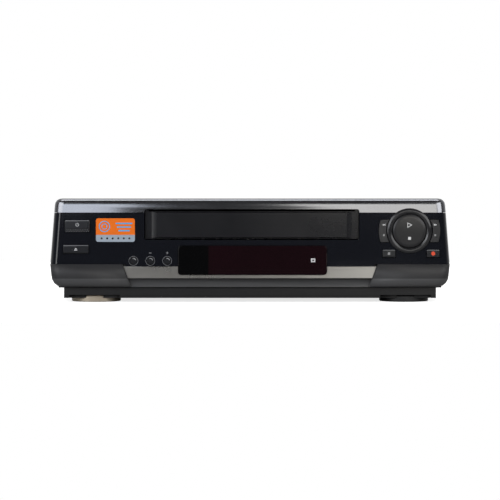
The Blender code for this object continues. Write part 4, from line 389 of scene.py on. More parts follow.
# Grey for printed signs, and for the painted highlight crescents on the small keys
PRINT_AND_HIGHLIGHT_GREY = Finish("print_grey", (0.34, 0.345, 0.355), 0.5, grain=Grain.PLAIN, spread=0.04)
PRINT_RED = Finish("print_red", (0.85, 0.085, 0.030), 0.45, grain=Grain.PLAIN, spread=0.04)
LABEL_ORANGE = Finish("label_orange", (1.0, 0.19, 0.002), 0.8, grain=Grain.PLAIN, spread=0.03)
LABEL_PALE = Finish("label_pale_blue", (0.40, 0.47, 0.55), 0.5, grain=Grain.PLAIN, spread=0.03)
LABEL_BLUE = Finish("label_light_blue", (0.12, 0.45, 0.82), 0.55, grain=Grain.PLAIN, spread=0.03)
SCREW = Finish("screw_black", (0.03, 0.03, 0.032), 0.3, 0.8, Grain.PLAIN)
COLLARS = (
    Finish("collar_yellow", (0.75, 0.50, 0.02), 0.4),
    Finish("collar_white", (0.72, 0.72, 0.70), 0.4),
    Finish("collar_red", (0.50, 0.02, 0.02), 0.4),
)


def paint_zone(
    material: bpy.types.Material,
    low: float,
    high: float,
    colour: Colour,
    roughness: float,
    reach: float = 1.0,
) -> None:
    """Paints the part of a material that lies between two heights.

    Args:
        material: a material that a Finish made.
        low: the zone's foot.
        high: the zone's top.
        colour: its linear colour.
        roughness: its roughness.
        reach: how far the zone goes to each side of the middle.
    """
    tree = material.node_tree
    shader = tree.nodes["Principled BSDF"]
    at = axes(tree, tree.nodes.new("ShaderNodeTexCoord").outputs["Object"])
    inside = maths(tree, "COMPARE", at["Z"], (low + high) / 2, (high - low) / 2)
    across = maths(tree, "COMPARE", at["X"], 0.0, reach)
    both = maths(tree, "MULTIPLY", inside, across)
    for name, kind, value in (("Base Color", "RGBA", (*colour, 1)), ("Roughness", "FLOAT", roughness)):
        before = next(link for link in tree.links if link.to_socket == shader.inputs[name]).from_socket
        tree.links.new(blend(tree, both, before, value, kind), shader.inputs[name])


# Tools for meshes


def smooth(mesh: bpy.types.Mesh) -> None:
    """Shades a mesh smooth, but for its sharp edges.

    Args:
        mesh: the mesh to shade.
    """
    mesh.shade_smooth()
    mesh.set_sharp_from_angle(angle=SMOOTH_ANGLE)


def piece(name: str, shape: bmesh.types.BMesh, finish: Finish, body: str) -> bpy.types.Object:
    """Makes a finished piece that rides on a CAD body.

    Args:
        name: the piece's name.
        shape: its mesh, in the recorder's frame; it is freed.
        finish: its finish.
        body: the CAD body it moves with.

    Returns:
        The new object, at the origin.
    """
    mesh = bpy.data.meshes.new(name)
    shape.to_mesh(mesh)
    shape.free()
    mesh.materials.append(finish.material())
    smooth(mesh)
    made = bpy.data.objects.new(name, mesh)
    bpy.context.scene.collection.objects.link(made)
    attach(made, body)
    LOG.info("%s: %d faces on %s", name, len(mesh.polygons), body)
    return made


def body_of(node: str) -> str:
    """Returns the CAD body that holds a node."""
    return frame["nodes"][node]["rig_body"]


def front_middle(node: str) -> Point:
    """Finds the middle of a node's box as seen from the front.

    Args:
        node: the CAD node's name.

    Returns:
        Its x and z.
    """
    low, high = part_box(node)
    return ((low.x + high.x) / 2, (low.z + high.z) / 2)


def merged(node: str) -> bmesh.types.BMesh:
    """Copies a CAD node's mesh with its loose triangles joined and its flat faces made whole.

    Args:
        node: the CAD node's name.

    Returns:
        The copy.
    """
    shape = bmesh.new()
    shape.from_mesh(frame["nodes"][node].data)
    bmesh.ops.remove_doubles(shape, verts=shape.verts, dist=MERGE)
    bmesh.ops.dissolve_degenerate(shape, edges=shape.edges, dist=MERGE)
    bmesh.ops.dissolve_limit(shape, angle_limit=FLAT_ANGLE, verts=shape.verts, edges=shape.edges)
    return shape


def softened(node: str, finish: Finish, width: float = 0.0) -> bpy.types.Object:
    """Stands a finished copy in for a CAD node.

    Args:
        node: the CAD node's name.
        finish: the finish of the copy.
        width: width of the bevel on its edges, or zero for none.

    Returns:
        The new piece.
    """
    made = piece("soft_" + node, merged(node), finish, body_of(node))
    if width > 0:
        bevel = made.modifiers.new("edges", "BEVEL")
        bevel.width = width
        bevel.segments = BEVEL_STEPS
        bevel.limit_method = "ANGLE"
        bevel.angle_limit = BEVEL_ANGLE
    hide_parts(node)
    return made


def outline_shape(outlines: Iterable[Sequence[Point]], low: float, high: float) -> bmesh.types.BMesh:
    """Fills flat outlines and their holes, between two heights.

    Args:
        outlines: closed outlines, the outer ones and the holes in them.
        low: height of the underside.
        high: height of the top.

    Returns:
        A closed mesh about the XY plane.
    """
    curve = bpy.data.curves.new("outline", "CURVE")
    curve.dimensions = "2D"
    curve.fill_mode = "BOTH"
    curve.extrude = (high - low) / 2
    for points in outlines:
        spline = curve.splines.new("POLY")
        spline.points.add(len(points) - 1)
        for place, (x, y) in zip(spline.points, points):
            place.co = (x, y, 0, 1)
        spline.use_cyclic_u = True
    drawn = bpy.data.objects.new("outline", curve)
    bpy.context.scene.collection.objects.link(drawn)
    graph = bpy.context.evaluated_depsgraph_get()
    mesh = bpy.data.meshes.new_from_object(drawn.evaluated_get(graph))
    shape = bmesh.new()
    shape.from_mesh(mesh)
    bpy.data.objects.remove(drawn)
    bpy.data.curves.remove(curve)
    bpy.data.meshes.remove(mesh)
    bmesh.ops.remove_doubles(shape, verts=shape.verts, dist=MERGE)
    bmesh.ops.translate(shape, verts=shape.verts, vec=(0, 0, (low + high) / 2))
    bmesh.ops.recalc_face_normals(shape, faces=shape.faces)
    return shape


def arc(centre: Point, radius: float, start: float, end: float, steps: int) -> list[Point]:
    """Places points along an arc.

    Args:
        centre: its middle.
        radius: its radius.
        start: the angle it starts at, in degrees.
        end: the angle it ends at, in degrees.
        steps: how many steps it has.

    Returns:
        The points, one more than the steps.
    """
    angles = [math.radians(start + (end - start) * n / steps) for n in range(steps + 1)]
    return [(centre[0] + radius * math.cos(a), centre[1] + radius * math.sin(a)) for a in angles]


def ring_points(centre: Point, radius: float, steps: int = 32) -> list[Point]:
    """Returns the points of a circle round a centre."""
    return arc(centre, radius, 0, 360, steps)[:-1]


def sector(centre: Point, outer: float, inner: float, start: float, end: float) -> list[Point]:
    """Draws the outline of a bent bar.

    Args:
        centre: the middle of its arcs.
        outer: its outer radius.
        inner: its inner radius.
        start: the angle it starts at, in degrees.
        end: the angle it ends at, in degrees.

    Returns:
        Its points.
    """
    return arc(centre, outer, start, end, ARC_STEPS) + arc(centre, inner, end, start, ARC_STEPS)


def box_points(centre: Point, width: float, height: float) -> list[Point]:
    """Places a rectangle's corners.

    Args:
        centre: its middle.
        width: its width.
        height: its height.

    Returns:
        The four corners.
    """
    x, y = centre
    w, h = width / 2, height / 2
    return [(x - w, y - h), (x + w, y - h), (x + w, y + h), (x - w, y + h)]


def round_box(centre: Point, width: float, height: float, radius: float) -> list[Point]:
    """Draws a rectangle with round corners.

    Args:
        centre: its middle.
        width: its width.
        height: its height.
        radius: its corners' radius.

    Returns:
        Its points.
    """
    points: list[Point] = []
    for sx, sy, start in ((1, -1, 270), (1, 1, 0), (-1, 1, 90), (-1, -1, 180)):
        corner = (centre[0] + sx * (width / 2 - radius), centre[1] + sy * (height / 2 - radius))
        points += arc(corner, radius, start, start + 90, CORNER_STEPS)
    return points


class Surface:
    """A node's front skin, on which flat shapes are printed."""

    def __init__(self, node: str) -> None:
        """Reads the skin.

        Args:
            node: the CAD node to print on.
        """
        self.body = body_of(node)
        shape = merged(node)
        bmesh.ops.triangulate(shape, faces=shape.faces)
        self.tree = BVHTree.FromBMesh(shape)
        shape.free()
        self.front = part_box(node)[0].y

    def depth(self, x: float, z: float) -> float:
        """Finds how far back the skin lies.

        Args:
            x: the point's place across the front.
            z: its height.

        Returns:
            The skin's y there.
        """
        start = Vector((x, self.front - RAY_START, z))
        hit = self.tree.ray_cast(start, Vector((0, 1, 0)), RAY_REACH)
        return hit[0].y if hit[0] else self.front

    def printed(
        self, name: str, outlines: Iterable[Sequence[Point]], finish: Finish, proud: float = PROUD
    ) -> bpy.types.Object:
        """Prints outlines, given as (x, z) from the front, on the skin.

        Args:
            name: the piece's name.
            outlines: closed outlines with their holes.
            finish: the ink's finish.
            proud: how far it stands off the skin.

        Returns:
            The print, as a thin closed piece.
        """
        shape = outline_shape(outlines, -SUNK, proud)
        for vert in shape.verts:
            x, z, off = vert.co
            vert.co = (x, self.depth(x, z) - off, z)
        bmesh.ops.recalc_face_normals(shape, faces=shape.faces)
        return piece(name, shape, finish, self.body)


# Printed symbols


class Symbol(Enum):
    """The plain signs on the keys."""

    POWER = "power"
    EJECT = "eject"
    PLAY = "play"
    STOP = "stop"
    REWIND = "rewind"
    FORWARD = "forward"
    PAUSE = "pause"
    RECORD = "record"
    MINUS = "minus"
    PLUS = "plus"

    def outlines(self, centre: Point, size: float) -> list[list[Point]]:
        """Draws the sign.

        Args:
            centre: its middle, as (x, z).
            size: its height.

        Returns:
            Its outlines and the holes in them.
        """
        # Every number below is a share of s, the sign's half height
        x, z = centre
        s = size / 2
        if self is Symbol.POWER:
            return [sector(centre, s, s * 0.72, -235, 55), box_points((x, z + s * 0.62), s * 0.26, s)]
        if self is Symbol.EJECT:
            roof = [(x - s, z - s * 0.15), (x + s, z - s * 0.15), (x, z + s * 0.85)]
            return [roof, box_points((x, z - s * 0.65), s * 2, s * 0.4)]
        if self is Symbol.PLAY:
            outer = [(x - s * 0.8, z - s), (x + s, z), (x - s * 0.8, z + s)]
            inner = [(x - s * 0.58, z - s * 0.62), (x + s * 0.58, z), (x - s * 0.58, z + s * 0.62)]
            return [outer, inner]
        if self is Symbol.STOP:
            return [box_points(centre, size, size)]
        if self in (Symbol.REWIND, Symbol.FORWARD):
            way = -1 if self is Symbol.REWIND else 1
            pairs = [(x + way * (tip - s * 0.9), x + way * tip) for tip in (0.0, s)]
            return [[(foot, z - s * 0.7), (tip, z), (foot, z + s * 0.7)] for foot, tip in pairs]
        if self is Symbol.PAUSE:
            return [box_points((x + side * s * 0.5, z), s * 0.4, size) for side in (-1, 1)]
        if self is Symbol.RECORD:
            return [ring_points(centre, s)]
        if self is Symbol.MINUS:
            return [box_points(centre, size, size * 0.2)]
        arm = s * 0.2
        return [[
            (x - s, z - arm), (x - arm, z - arm), (x - arm, z - s), (x + arm, z - s),
            (x + arm, z - arm), (x + s, z - arm), (x + s, z + arm), (x + arm, z + arm),
            (x + arm, z + s), (x - arm, z + s), (x - arm, z + arm), (x - s, z + arm),
        ]]


# Repeated small pieces, made by Geometry Nodes


@dataclass
class Repeater:
    """Sets one small shape at many places with a Geometry Nodes tree.

    Args:
        name: the finished piece's name.
        shape: the small shape's mesh about its own origin, top towards +Z.
        places: where each copy goes.
        normal: the way each copy's top points.
        finish: its finish.
        body: the CAD body that the piece moves with.
        size: each copy's scale.
    """

    name: str
    shape: bmesh.types.BMesh
    places: Sequence[Sequence[float]]
    normal: Sequence[float]
    finish: Finish
    body: str
    size: float = 1.0

    def tree(self, source: bpy.types.Object) -> bpy.types.NodeTree:
        """Builds the node tree.

        Args:
            source: the object that holds the small shape.

        Returns:
            A tree with the inputs Points and Size.
        """
        tree = bpy.data.node_groups.new(self.name + "_tree", "GeometryNodeTree")
        tree.interface.new_socket("Points", in_out="INPUT", socket_type="NodeSocketGeometry")
        tree.interface.new_socket("Size", in_out="INPUT", socket_type="NodeSocketFloat")
        tree.interface.new_socket("Pieces", in_out="OUTPUT", socket_type="NodeSocketGeometry")
        given = tree.nodes.new("NodeGroupInput")
        result = tree.nodes.new("NodeGroupOutput")
        info = tree.nodes.new("GeometryNodeObjectInfo")
        info.inputs["Object"].default_value = source
        turn = tree.nodes.new("FunctionNodeAlignRotationToVector")
        turn.axis = "Z"
        turn.inputs["Vector"].default_value = self.normal
        copies = tree.nodes.new("GeometryNodeInstanceOnPoints")
        real = tree.nodes.new("GeometryNodeRealizeInstances")
        paint = tree.nodes.new("GeometryNodeSetMaterial")
        paint.inputs["Material"].default_value = self.finish.material()
        tree.links.new(given.outputs["Points"], copies.inputs["Points"])
        tree.links.new(info.outputs["Geometry"], copies.inputs["Instance"])
        tree.links.new(turn.outputs["Rotation"], copies.inputs["Rotation"])
        tree.links.new(given.outputs["Size"], copies.inputs["Scale"])
        tree.links.new(copies.outputs["Instances"], real.inputs["Geometry"])
        tree.links.new(real.outputs["Geometry"], paint.inputs["Geometry"])
        tree.links.new(paint.outputs["Geometry"], result.inputs["Pieces"])
        return tree

    def build(self) -> bpy.types.Object:
        """Runs the tree.

        Returns:
            Its result as one plain mesh that rides on the body.
        """
        source = bpy.data.objects.new(self.name + "_one", bpy.data.meshes.new(self.name + "_one"))
        self.shape.to_mesh(source.data)
        self.shape.free()
        bpy.context.scene.collection.objects.link(source)
        cloud = bpy.data.meshes.new(self.name + "_points")
        cloud.from_pydata([tuple(place) for place in self.places], [], [])
        holder = bpy.data.objects.new(self.name + "_holder", cloud)
        bpy.context.scene.collection.objects.link(holder)
        tree = self.tree(source)
        modifier = holder.modifiers.new("repeat", "NODES")
        modifier.node_group = tree
        inputs = [item for item in tree.interface.items_tree if item.in_out == "INPUT"]
        sockets = {item.name: item.identifier for item in inputs}
        modifier[sockets["Size"]] = self.size
        graph = bpy.context.evaluated_depsgraph_get()
        mesh = bpy.data.meshes.new_from_object(holder.evaluated_get(graph))
        mesh.name = self.name
        bpy.data.objects.remove(holder)
        bpy.data.objects.remove(source)
        smooth(mesh)
        made = bpy.data.objects.new(self.name, mesh)
        bpy.context.scene.collection.objects.link(made)
        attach(made, self.body)
        LOG.info("%s: %d copies on %s", self.name, len(self.places), self.body)
        return made


def lathe(profile: Sequence[Point], steps: int) -> bmesh.types.BMesh:
    """Turns a profile of (radius, height) points about +Z, from its top to its foot.

    Args:
        profile: the points, of which the first and last may lie on the axis.
        steps: how many sides the shape has.

    Returns:
        A closed mesh.
    """
    shape = bmesh.new()
    rows: list[list[bmesh.types.BMVert]] = []
    for radius, height in profile:
        if radius == 0:
            rows.append([shape.verts.new((0, 0, height))])
            continue
        rows.append([shape.verts.new((x, y, height)) for x, y in ring_points((0, 0), radius, steps)])
    closed = profile[0][0] > 0
    pairs = list(zip(rows, rows[1:])) + ([(rows[-1], rows[0])] if closed else [])
    for upper, lower in pairs:
        for step in range(steps):
            after = (step + 1) % steps
            corners = [upper[step % len(upper)], upper[after % len(upper)]]
            corners += [lower[after % len(lower)], lower[step % len(lower)]]
            unique = list(dict.fromkeys(corners))
            if len(unique) > 2:
                shape.faces.new(unique)
    bmesh.ops.recalc_face_normals(shape, faces=shape.faces)
    return shape


def block(size: Sequence[float]) -> bmesh.types.BMesh:
    """Makes a block about the origin.

    Args:
        size: its width, depth and height.

    Returns:
        Its mesh.
    """
    shape = bmesh.new()
    bmesh.ops.create_cube(shape, size=1)
    bmesh.ops.scale(shape, vec=size, verts=shape.verts)
    return shape


@dataclass(frozen=True)
class Screw:
    """A pan-headed screw with a cross cut in it.

    Args:
        radius: the head's radius.
        rise_share: its height, as a share of the radius.
        dome_shares: its profile, as shares of the radius and of the height.
        slot_shares: a slot's length and width as shares of the radius, and its depth as one of the height.
        sides: how many sides it has.
    """

    radius: float
    rise_share: float = 0.55
    dome_shares: Sequence[Point] = ((0, 1), (0.45, 0.97), (0.8, 0.75), (1, 0.3), (1, 0), (0, 0))
    slot_shares: Place = (1.1, 0.2, 0.7)
    sides: int = 20

    def head(self) -> bmesh.types.BMesh:
        """Turns the dome and cuts the cross.

        Returns:
            The head's mesh, top towards +Z.
        """
        rise = self.radius * self.rise_share
        head = lathe([(self.radius * out, rise * up) for out, up in self.dome_shares], self.sides)
        length, width, depth = self.slot_shares
        for turn in (0, 90):
            slot = block((self.radius * length, self.radius * width, rise * depth))
            place = Matrix.Rotation(math.radians(turn), 4, "Z") @ Matrix.Translation((0, 0, rise))
            bmesh.ops.transform(slot, matrix=place, verts=slot.verts)
            head = carved(head, slot)
        return head


def carved(target: bmesh.types.BMesh, tool: bmesh.types.BMesh) -> bmesh.types.BMesh:
    """Cuts one closed mesh with another.

    Args:
        target: the mesh that is cut; it is freed.
        tool: the mesh that cuts; it is freed.

    Returns:
        What is left of the target.
    """
    made = []
    for shape in (target, tool):
        mesh = bpy.data.meshes.new("carving")
        shape.to_mesh(mesh)
        shape.free()
        made.append(bpy.data.objects.new("carving", mesh))
        bpy.context.scene.collection.objects.link(made[-1])
    change = made[0].modifiers.new("cut", "BOOLEAN")
    change.object = made[1]
    change.operation = "DIFFERENCE"
    change.solver = "EXACT"
    graph = bpy.context.evaluated_depsgraph_get()
    mesh = bpy.data.meshes.new_from_object(made[0].evaluated_get(graph))
    result = bmesh.new()
    result.from_mesh(mesh)
    for used in made:
        bpy.data.objects.remove(used)
    return result


# The recorder's assemblies


class Assembly(Protocol):
    """What main builds, one after another."""

    def build(self) -> None:
        """Builds and dresses its pieces."""


@dataclass
class Front:
    """The front moulding with its skins, trim and display window."""

    edge: float = 0.25 * MM
    wing_top: float = 33.8 * MM
    panel_top: float = 95.0 * MM
    sill_top: float = 21.0 * MM
    # The slot zone is painted near black as shade inside the slot
    slot_low: float = 53.0 * MM
    slot_high: float = 83.5 * MM
    slot_reach: float = 98.0 * MM
    # The sill's lighter grey is painted light, for the light the sill catches
    sill_painted_light_colour: Colour = (0.078, 0.079, 0.082)
    sill_roughness: float = 0.34
    window_split: float = -37.0 * MM
    split_width: float = 0.6 * MM
    window_roughness: float = 0.06
    window_coat: float = 0.3
    smoke_scale: float = 30.0
    smoke_black: Colour = (0.0012, 0.0012, 0.0016)
    smoke_dark: Colour = (0.0070, 0.0018, 0.0030)
    smoke_red: Colour = (0.0120, 0.0026, 0.0050)
    icon_at: Point = (55.8 * MM, 37.2 * MM)
    icon_size: Point = (3.8 * MM, 3.4 * MM)
    icon_line: float = 1.1 * MM

    def build(self) -> None:
        """Dresses the moulding and its skins."""
        panel = softened("front_panel", WING_GREY)
        paint = panel.data.materials[0]
        paint_zone(paint, self.wing_top, self.panel_top, GLOSS_BLACK.colour, GLOSS_BLACK.roughness)
        # Painted light: the moulding below the sill top is painted a lighter grey than the wings, as if lit
        # from above
        paint_zone(paint, 0.0, self.sill_top, self.sill_painted_light_colour, self.sill_roughness)
        # Painted shade: the slot's inside round the door is painted near black, so the gap round the door
        # reads dark
        paint_zone(paint, self.slot_low, self.slot_high, PAINTED_SHADE_BLACK, MATTE_ROUGHNESS, self.slot_reach)
        softened("face_plate", GLOSS_BLACK)
        softened("top_band", BAND_SILVER)
        softened("lower_trim", STRIP, self.edge)
        window = softened("display_window", GLOSS_BLACK, self.edge)
        window.data.materials[0] = self.window_material()
        self.print_icon()

    def window_material(self) -> bpy.types.Material:
        """Makes the smoked window's material: black at its left, dark red over the tube.

        Returns:
            The material.
        """
        made = bpy.data.materials.new("smoked_window")
        made.use_nodes = True
        tree = made.node_tree
        shader = tree.nodes["Principled BSDF"]
        shader.inputs["Roughness"].default_value = self.window_roughness
        shader.inputs["Coat Weight"].default_value = self.window_coat
        place = tree.nodes.new("ShaderNodeTexCoord").outputs["Object"]
        edge = (self.window_split, self.window_split + self.split_width)
        step = spread_over(tree, axes(tree, place)["X"], edge, (0.0, 1.0))
        cloud = tree.nodes.new("ShaderNodeTexNoise")
        cloud.inputs["Scale"].default_value = self.smoke_scale
        tree.links.new(place, cloud.inputs["Vector"])
        red = blend(tree, cloud.outputs["Fac"], (*self.smoke_dark, 1), (*self.smoke_red, 1))
        tree.links.new(blend(tree, step, (*self.smoke_black, 1), red), shader.inputs["Base Color"])
        return made

    def print_icon(self) -> None:
        """Prints the small square sign in the window."""
        skin = Surface("display_window")
        width, height = self.icon_size
        hole = (width - 2 * self.icon_line, height - 2 * self.icon_line)
        outlines = [box_points(self.icon_at, width, height), box_points(self.icon_at, *hole)]
        skin.printed("window_icon", outlines, PRINT_WHITE)


@dataclass
class Door:
    """The cassette door."""

    edge: float = 0.3 * MM
    crease: float = math.radians(8)

    def build(self) -> None:
        """Softens the door's edges and keeps its long bevels crisp."""
        door = softened("cassette_door", DOOR_BLACK, self.edge)
        door.data.set_sharp_from_angle(angle=self.crease)


@dataclass(frozen=True)
class KeySign:
    """The sign on one push key.

    Args:
        node: the key's CAD node.
        symbol: what is printed on it.
        size: the sign's height.
        ink: its finish.
        rise: how far it stands above the key's middle.
    """

    node: str
    symbol: Symbol
    size: float
    ink: Finish = PRINT_WHITE
    rise: float = 0.2 * MM


@dataclass
class Keys:
    """The push keys beside the window and on the left, with their signs and painted highlights."""

    signs: Sequence[KeySign] = (
        KeySign("power_button", Symbol.POWER, 3.0 * MM, rise=1.4 * MM),
        KeySign("eject_button", Symbol.EJECT, 2.7 * MM),
        KeySign("pause_button", Symbol.PAUSE, 2.4 * MM),
        KeySign("record_button", Symbol.RECORD, 3.6 * MM, PRINT_RED),
    )
    edge: float = 0.5 * MM
    # Width and inset of the painted highlight line along each key's top edge
    bar_line: float = 0.55 * MM
    highlight_margin: float = 1.1 * MM
    pip_radius: float = 0.34 * MM
    pip_rise: float = 0.204 * MM
    pip_shares: Sequence[Point] = ((0, 1), (0.7, 0.75), (1, 0), (0, 0))
    pip_sides: int = 10
    pip_rows: int = 2
    pip_pitch: float = 1.5 * MM
    pip_margin: float = 1.6 * MM
    row_share: float = 0.85
    # A painted highlight ring on the face round each small key, for the light on its rim
    highlight_ring_line: float = 0.36 * MM
    highlight_ring_radius: float = 3.85 * MM
    # A painted highlight crescent on the upper side of each small key
    crescent_outer: float = 2.5 * MM
    crescent_inner: float = 1.8 * MM
    crescent_turn: Point = (15, 105)
    small_sign: float = 2.2 * MM
    small_sign_rise: float = 7.0 * MM

    def build(self) -> None:
        """Softens the keys, prints their signs and paints a highlight line along each key's top edge."""
        for sign in self.signs:
            softened(sign.node, KEY_BLACK, self.edge)
            low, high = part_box(sign.node)
            skin = Surface(sign.node)
            x, z = front_middle(sign.node)
            outlines = sign.symbol.outlines((x, z + sign.rise), sign.size)
            skin.printed(sign.node + "_sign", outlines, sign.ink)
            # Painted highlight: a light grey line along the key's top edge, for the light its bevel catches
            top = (x, high.z - self.highlight_margin)
            bar = box_points(top, high.x - low.x - 2 * self.highlight_margin, self.bar_line)
            skin.printed(sign.node + "_top_line", [bar], KEY_HIGHLIGHT_GREY)
        self.pips()
        self.ring_keys()

    def pips(self) -> None:
        """Sets rows of small pips along the power key's foot."""
        skin = Surface("power_button")
        low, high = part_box("power_button")
        count = int((high.x - low.x - 2 * self.pip_margin) / self.pip_pitch) + 1
        start = front_middle("power_button")[0] - (count - 1) / 2 * self.pip_pitch
        places = []
        for row in range(self.pip_rows):
            z = low.z + self.pip_margin + row * self.pip_pitch * self.row_share
            for n in range(count - row):
                x = start + (n + row / 2) * self.pip_pitch
                places.append((x, skin.depth(x, z), z))
        profile = [(self.pip_radius * out, self.pip_rise * up) for out, up in self.pip_shares]
        dome = lathe(profile, self.pip_sides)
        # The pips wear the light grey of the keys' painted highlights
        Repeater("power_pips", dome, places, (0, -1, 0), KEY_HIGHLIGHT_GREY, skin.body).build()

    def ring_keys(self) -> None:
        """Softens the small keys, paints a thin highlight ring on the face round each and a highlight
        crescent on each, and prints the signs above two of them.
        """
        skin = Surface("face_plate")
        for node in ("setup_button", "program_down_button", "program_up_button"):
            softened(node, KEY_BLACK)
            centre = front_middle(node)
            # Painted highlight: a thin light grey ring round the key, for the light on its rim
            radii = (self.highlight_ring_radius + self.highlight_ring_line, self.highlight_ring_radius)
            skin.printed(node + "_ring", [ring_points(centre, radius) for radius in radii], KEY_HIGHLIGHT_GREY)
            # Painted highlight: a grey crescent on the key's upper side, for the light on its dished face
            highlight_crescent = sector(centre, self.crescent_outer, self.crescent_inner, *self.crescent_turn)
            Surface(node).printed(node + "_crescent", [highlight_crescent], PRINT_AND_HIGHLIGHT_GREY)
            sign = {"program_down_button": Symbol.MINUS, "program_up_button": Symbol.PLUS}.get(node)
            if sign:
                above = (centre[0], centre[1] + self.small_sign_rise)
                skin.printed(node + "_sign", sign.outlines(above, self.small_sign), PRINT_AND_HIGHLIGHT_GREY)


@dataclass
class Dial:
    """The dial: its ring, the play and stop disc and the two bent rockers."""

    middle: Point = (141.0 * MM, 63.2 * MM)
    play_size: float = 4.8 * MM
    play_rise: float = 5.2 * MM
    stop_size: float = 2.6 * MM
    stop_drop: float = 6.6 * MM
    rocker_edge: float = 0.3 * MM
    upper_size: float = 2.8 * MM
    upper_rise: float = 5.4 * MM
    lower_size: float = 1.6 * MM
    lower_drop: float = 3.78 * MM

    def build(self) -> None:
        """Softens the dial's pieces and prints their signs."""
        softened("dial_ring", RING_GREY)
        softened("play_stop_button", DISC_GREY)
        x, z = self.middle
        disc = Surface("play_stop_button")
        play = Symbol.PLAY.outlines((x, z + self.play_rise), self.play_size)
        disc.printed("play_sign", play, PRINT_WHITE)
        stop = Symbol.STOP.outlines((x, z - self.stop_drop), self.stop_size)
        disc.printed("stop_sign", stop, PRINT_WHITE)
        for node, symbol in (("rewind_button", Symbol.REWIND), ("forward_button", Symbol.FORWARD)):
            softened(node, ROCKER_GREY, self.rocker_edge)
            skin = Surface(node)
            across = front_middle(node)[0]
            upper = symbol.outlines((across, z + self.upper_rise), self.upper_size)
            skin.printed(node + "_upper_sign", upper, PRINT_WHITE)
            lower = Symbol.PAUSE.outlines((across, z - self.lower_drop), self.lower_size)
            skin.printed(node + "_lower_sign", lower, PRINT_WHITE)


@dataclass
class Sticker:
    """A plain two-colour label with rings, bars and dots of its own.

    The rings and the bars are placed from its left and right edges and its middle, and the dots from its
    left edge and down from its split.
    """

    middle: Point = (-119.0 * MM, 63.9 * MM)
    width: float = 34.4 * MM
    height: float = 20.8 * MM
    corner: float = 2.0 * MM
    split: float = 59.7 * MM
    thickness: float = 0.10 * MM
    upper_depth: float = 4.0 * MM
    lower_depth: float = 2.0 * MM
    rings_at: Point = (7.5 * MM, 3.2 * MM)
    ring_radii: Sequence[float] = (5.0 * MM, 4.2 * MM, 2.6 * MM, 1.9 * MM)
    bar_count: int = 3
    bars_at: Point = (9.6 * MM, 5.9 * MM)
    bar_length: float = 15.0 * MM
    bar_taper: float = 2.4 * MM
    bar_pitch: float = 3.2 * MM
    bar_line: float = 1.3 * MM
    bar_corner: float = 0.6 * MM
    dot_count: int = 6
    dots_at: Point = (5.0 * MM, 3.1 * MM)
    dot_pitch: float = 4.9 * MM
    dot_radius: float = 0.9 * MM
    dot_steps: int = 20

    def build(self) -> None:
        """Lays the label's fields and motifs on the face."""
        skin = Surface("face_plate")
        x, z = self.middle
        left, right = x - self.width / 2, x + self.width / 2
        whole = round_box(self.middle, self.width, self.height, self.corner)
        upper = [(left, self.split), (right, self.split)] + [p for p in whole if p[1] > self.split]
        lower = [p for p in whole if p[1] < self.split] + [(right, self.split), (left, self.split)]
        upper = self.ordered(upper, (x, self.split + self.upper_depth))
        lower = self.ordered(lower, (x, self.split - self.lower_depth))
        skin.printed("label_field", [upper], LABEL_ORANGE, self.thickness)
        skin.printed("label_foot", [lower], LABEL_PALE, self.thickness)
        top = self.thickness + PROUD
        at = (left + self.rings_at[0], z + self.rings_at[1])
        rings = [ring_points(at, radius) for radius in self.ring_radii]
        skin.printed("label_rings", rings, LABEL_BLUE, top)
        bars = []
        for n in range(self.bar_count):
            at = (right - self.bars_at[0], z + self.bars_at[1] - n * self.bar_pitch)
            length = self.bar_length - n * self.bar_taper
            bars.append(round_box(at, length, self.bar_line, self.bar_corner))
        skin.printed("label_bars", bars, LABEL_BLUE, top)
        dots = []
        for n in range(self.dot_count):
            at = (left + self.dots_at[0] + n * self.dot_pitch, self.split - self.dots_at[1])
            dots.append(ring_points(at, self.dot_radius, self.dot_steps))
        skin.printed("label_dots", dots, DOOR_BLACK, top)

    @staticmethod
    def ordered(points: list[Point], middle: Point) -> list[Point]:
        """Returns an outline's points in their order round a middle."""
        return sorted(points, key=lambda p: math.atan2(p[1] - middle[1], p[0] - middle[0]))


@dataclass
class Case:
    """The cover, the chassis and the feet, with the screws that hold the cover."""

    # Height up to which the chassis's lower edge is painted near black as shade under the recorder
    painted_shade_top: float = 6.4 * MM
    side_screw: Point = (-60.0 * MM, 19.6 * MM)
    side_count: int = 2
    side_pitch: float = 150.0 * MM
    screw_radius: float = 3.2 * MM
    back_screw_radius: float = 2.88 * MM
    back_screws: Sequence[Point] = ((-150.0 * MM, 84.0 * MM), (0.0, 84.0 * MM), (150.0 * MM, 84.0 * MM))

    def build(self) -> None:
        """Dresses the case and sets its screws."""
        softened("top_cover", COVER)
        chassis = softened("bottom_chassis", CHASSIS)
        # Painted shade: the chassis's lower edge is painted near black, for the shade beneath the recorder
        paint_zone(chassis.data.materials[0], 0.0, self.painted_shade_top, PAINTED_SHADE_BLACK, MATTE_ROUGHNESS)
        # Only the front left foot is champagne; the front right one is painted black as shade, the rear ones
        # are plain black
        for node in ("foot_front_left", "foot_front_right", "foot_rear_left", "foot_rear_right"):
            softened(node, FOOT_GOLD if node == "foot_front_left" else FOOT_BLACK_AND_SHADE)
        low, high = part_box("top_cover")
        y, z = self.side_screw
        for name, side, x in (("side_screws_left", -1, low.x), ("side_screws_right", 1, high.x)):
            places = [(x, y + n * self.side_pitch, z) for n in range(self.side_count)]
            head = Screw(self.screw_radius).head()
            Repeater(name, head, places, (side, 0, 0), SCREW, "chassis").build()
        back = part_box("rear_panel")[1].y
        places = [(x, back, z) for x, z in self.back_screws]
        head = Screw(self.back_screw_radius).head()
        Repeater("back_screws", head, places, (0, 1, 0), SCREW, "chassis").build()


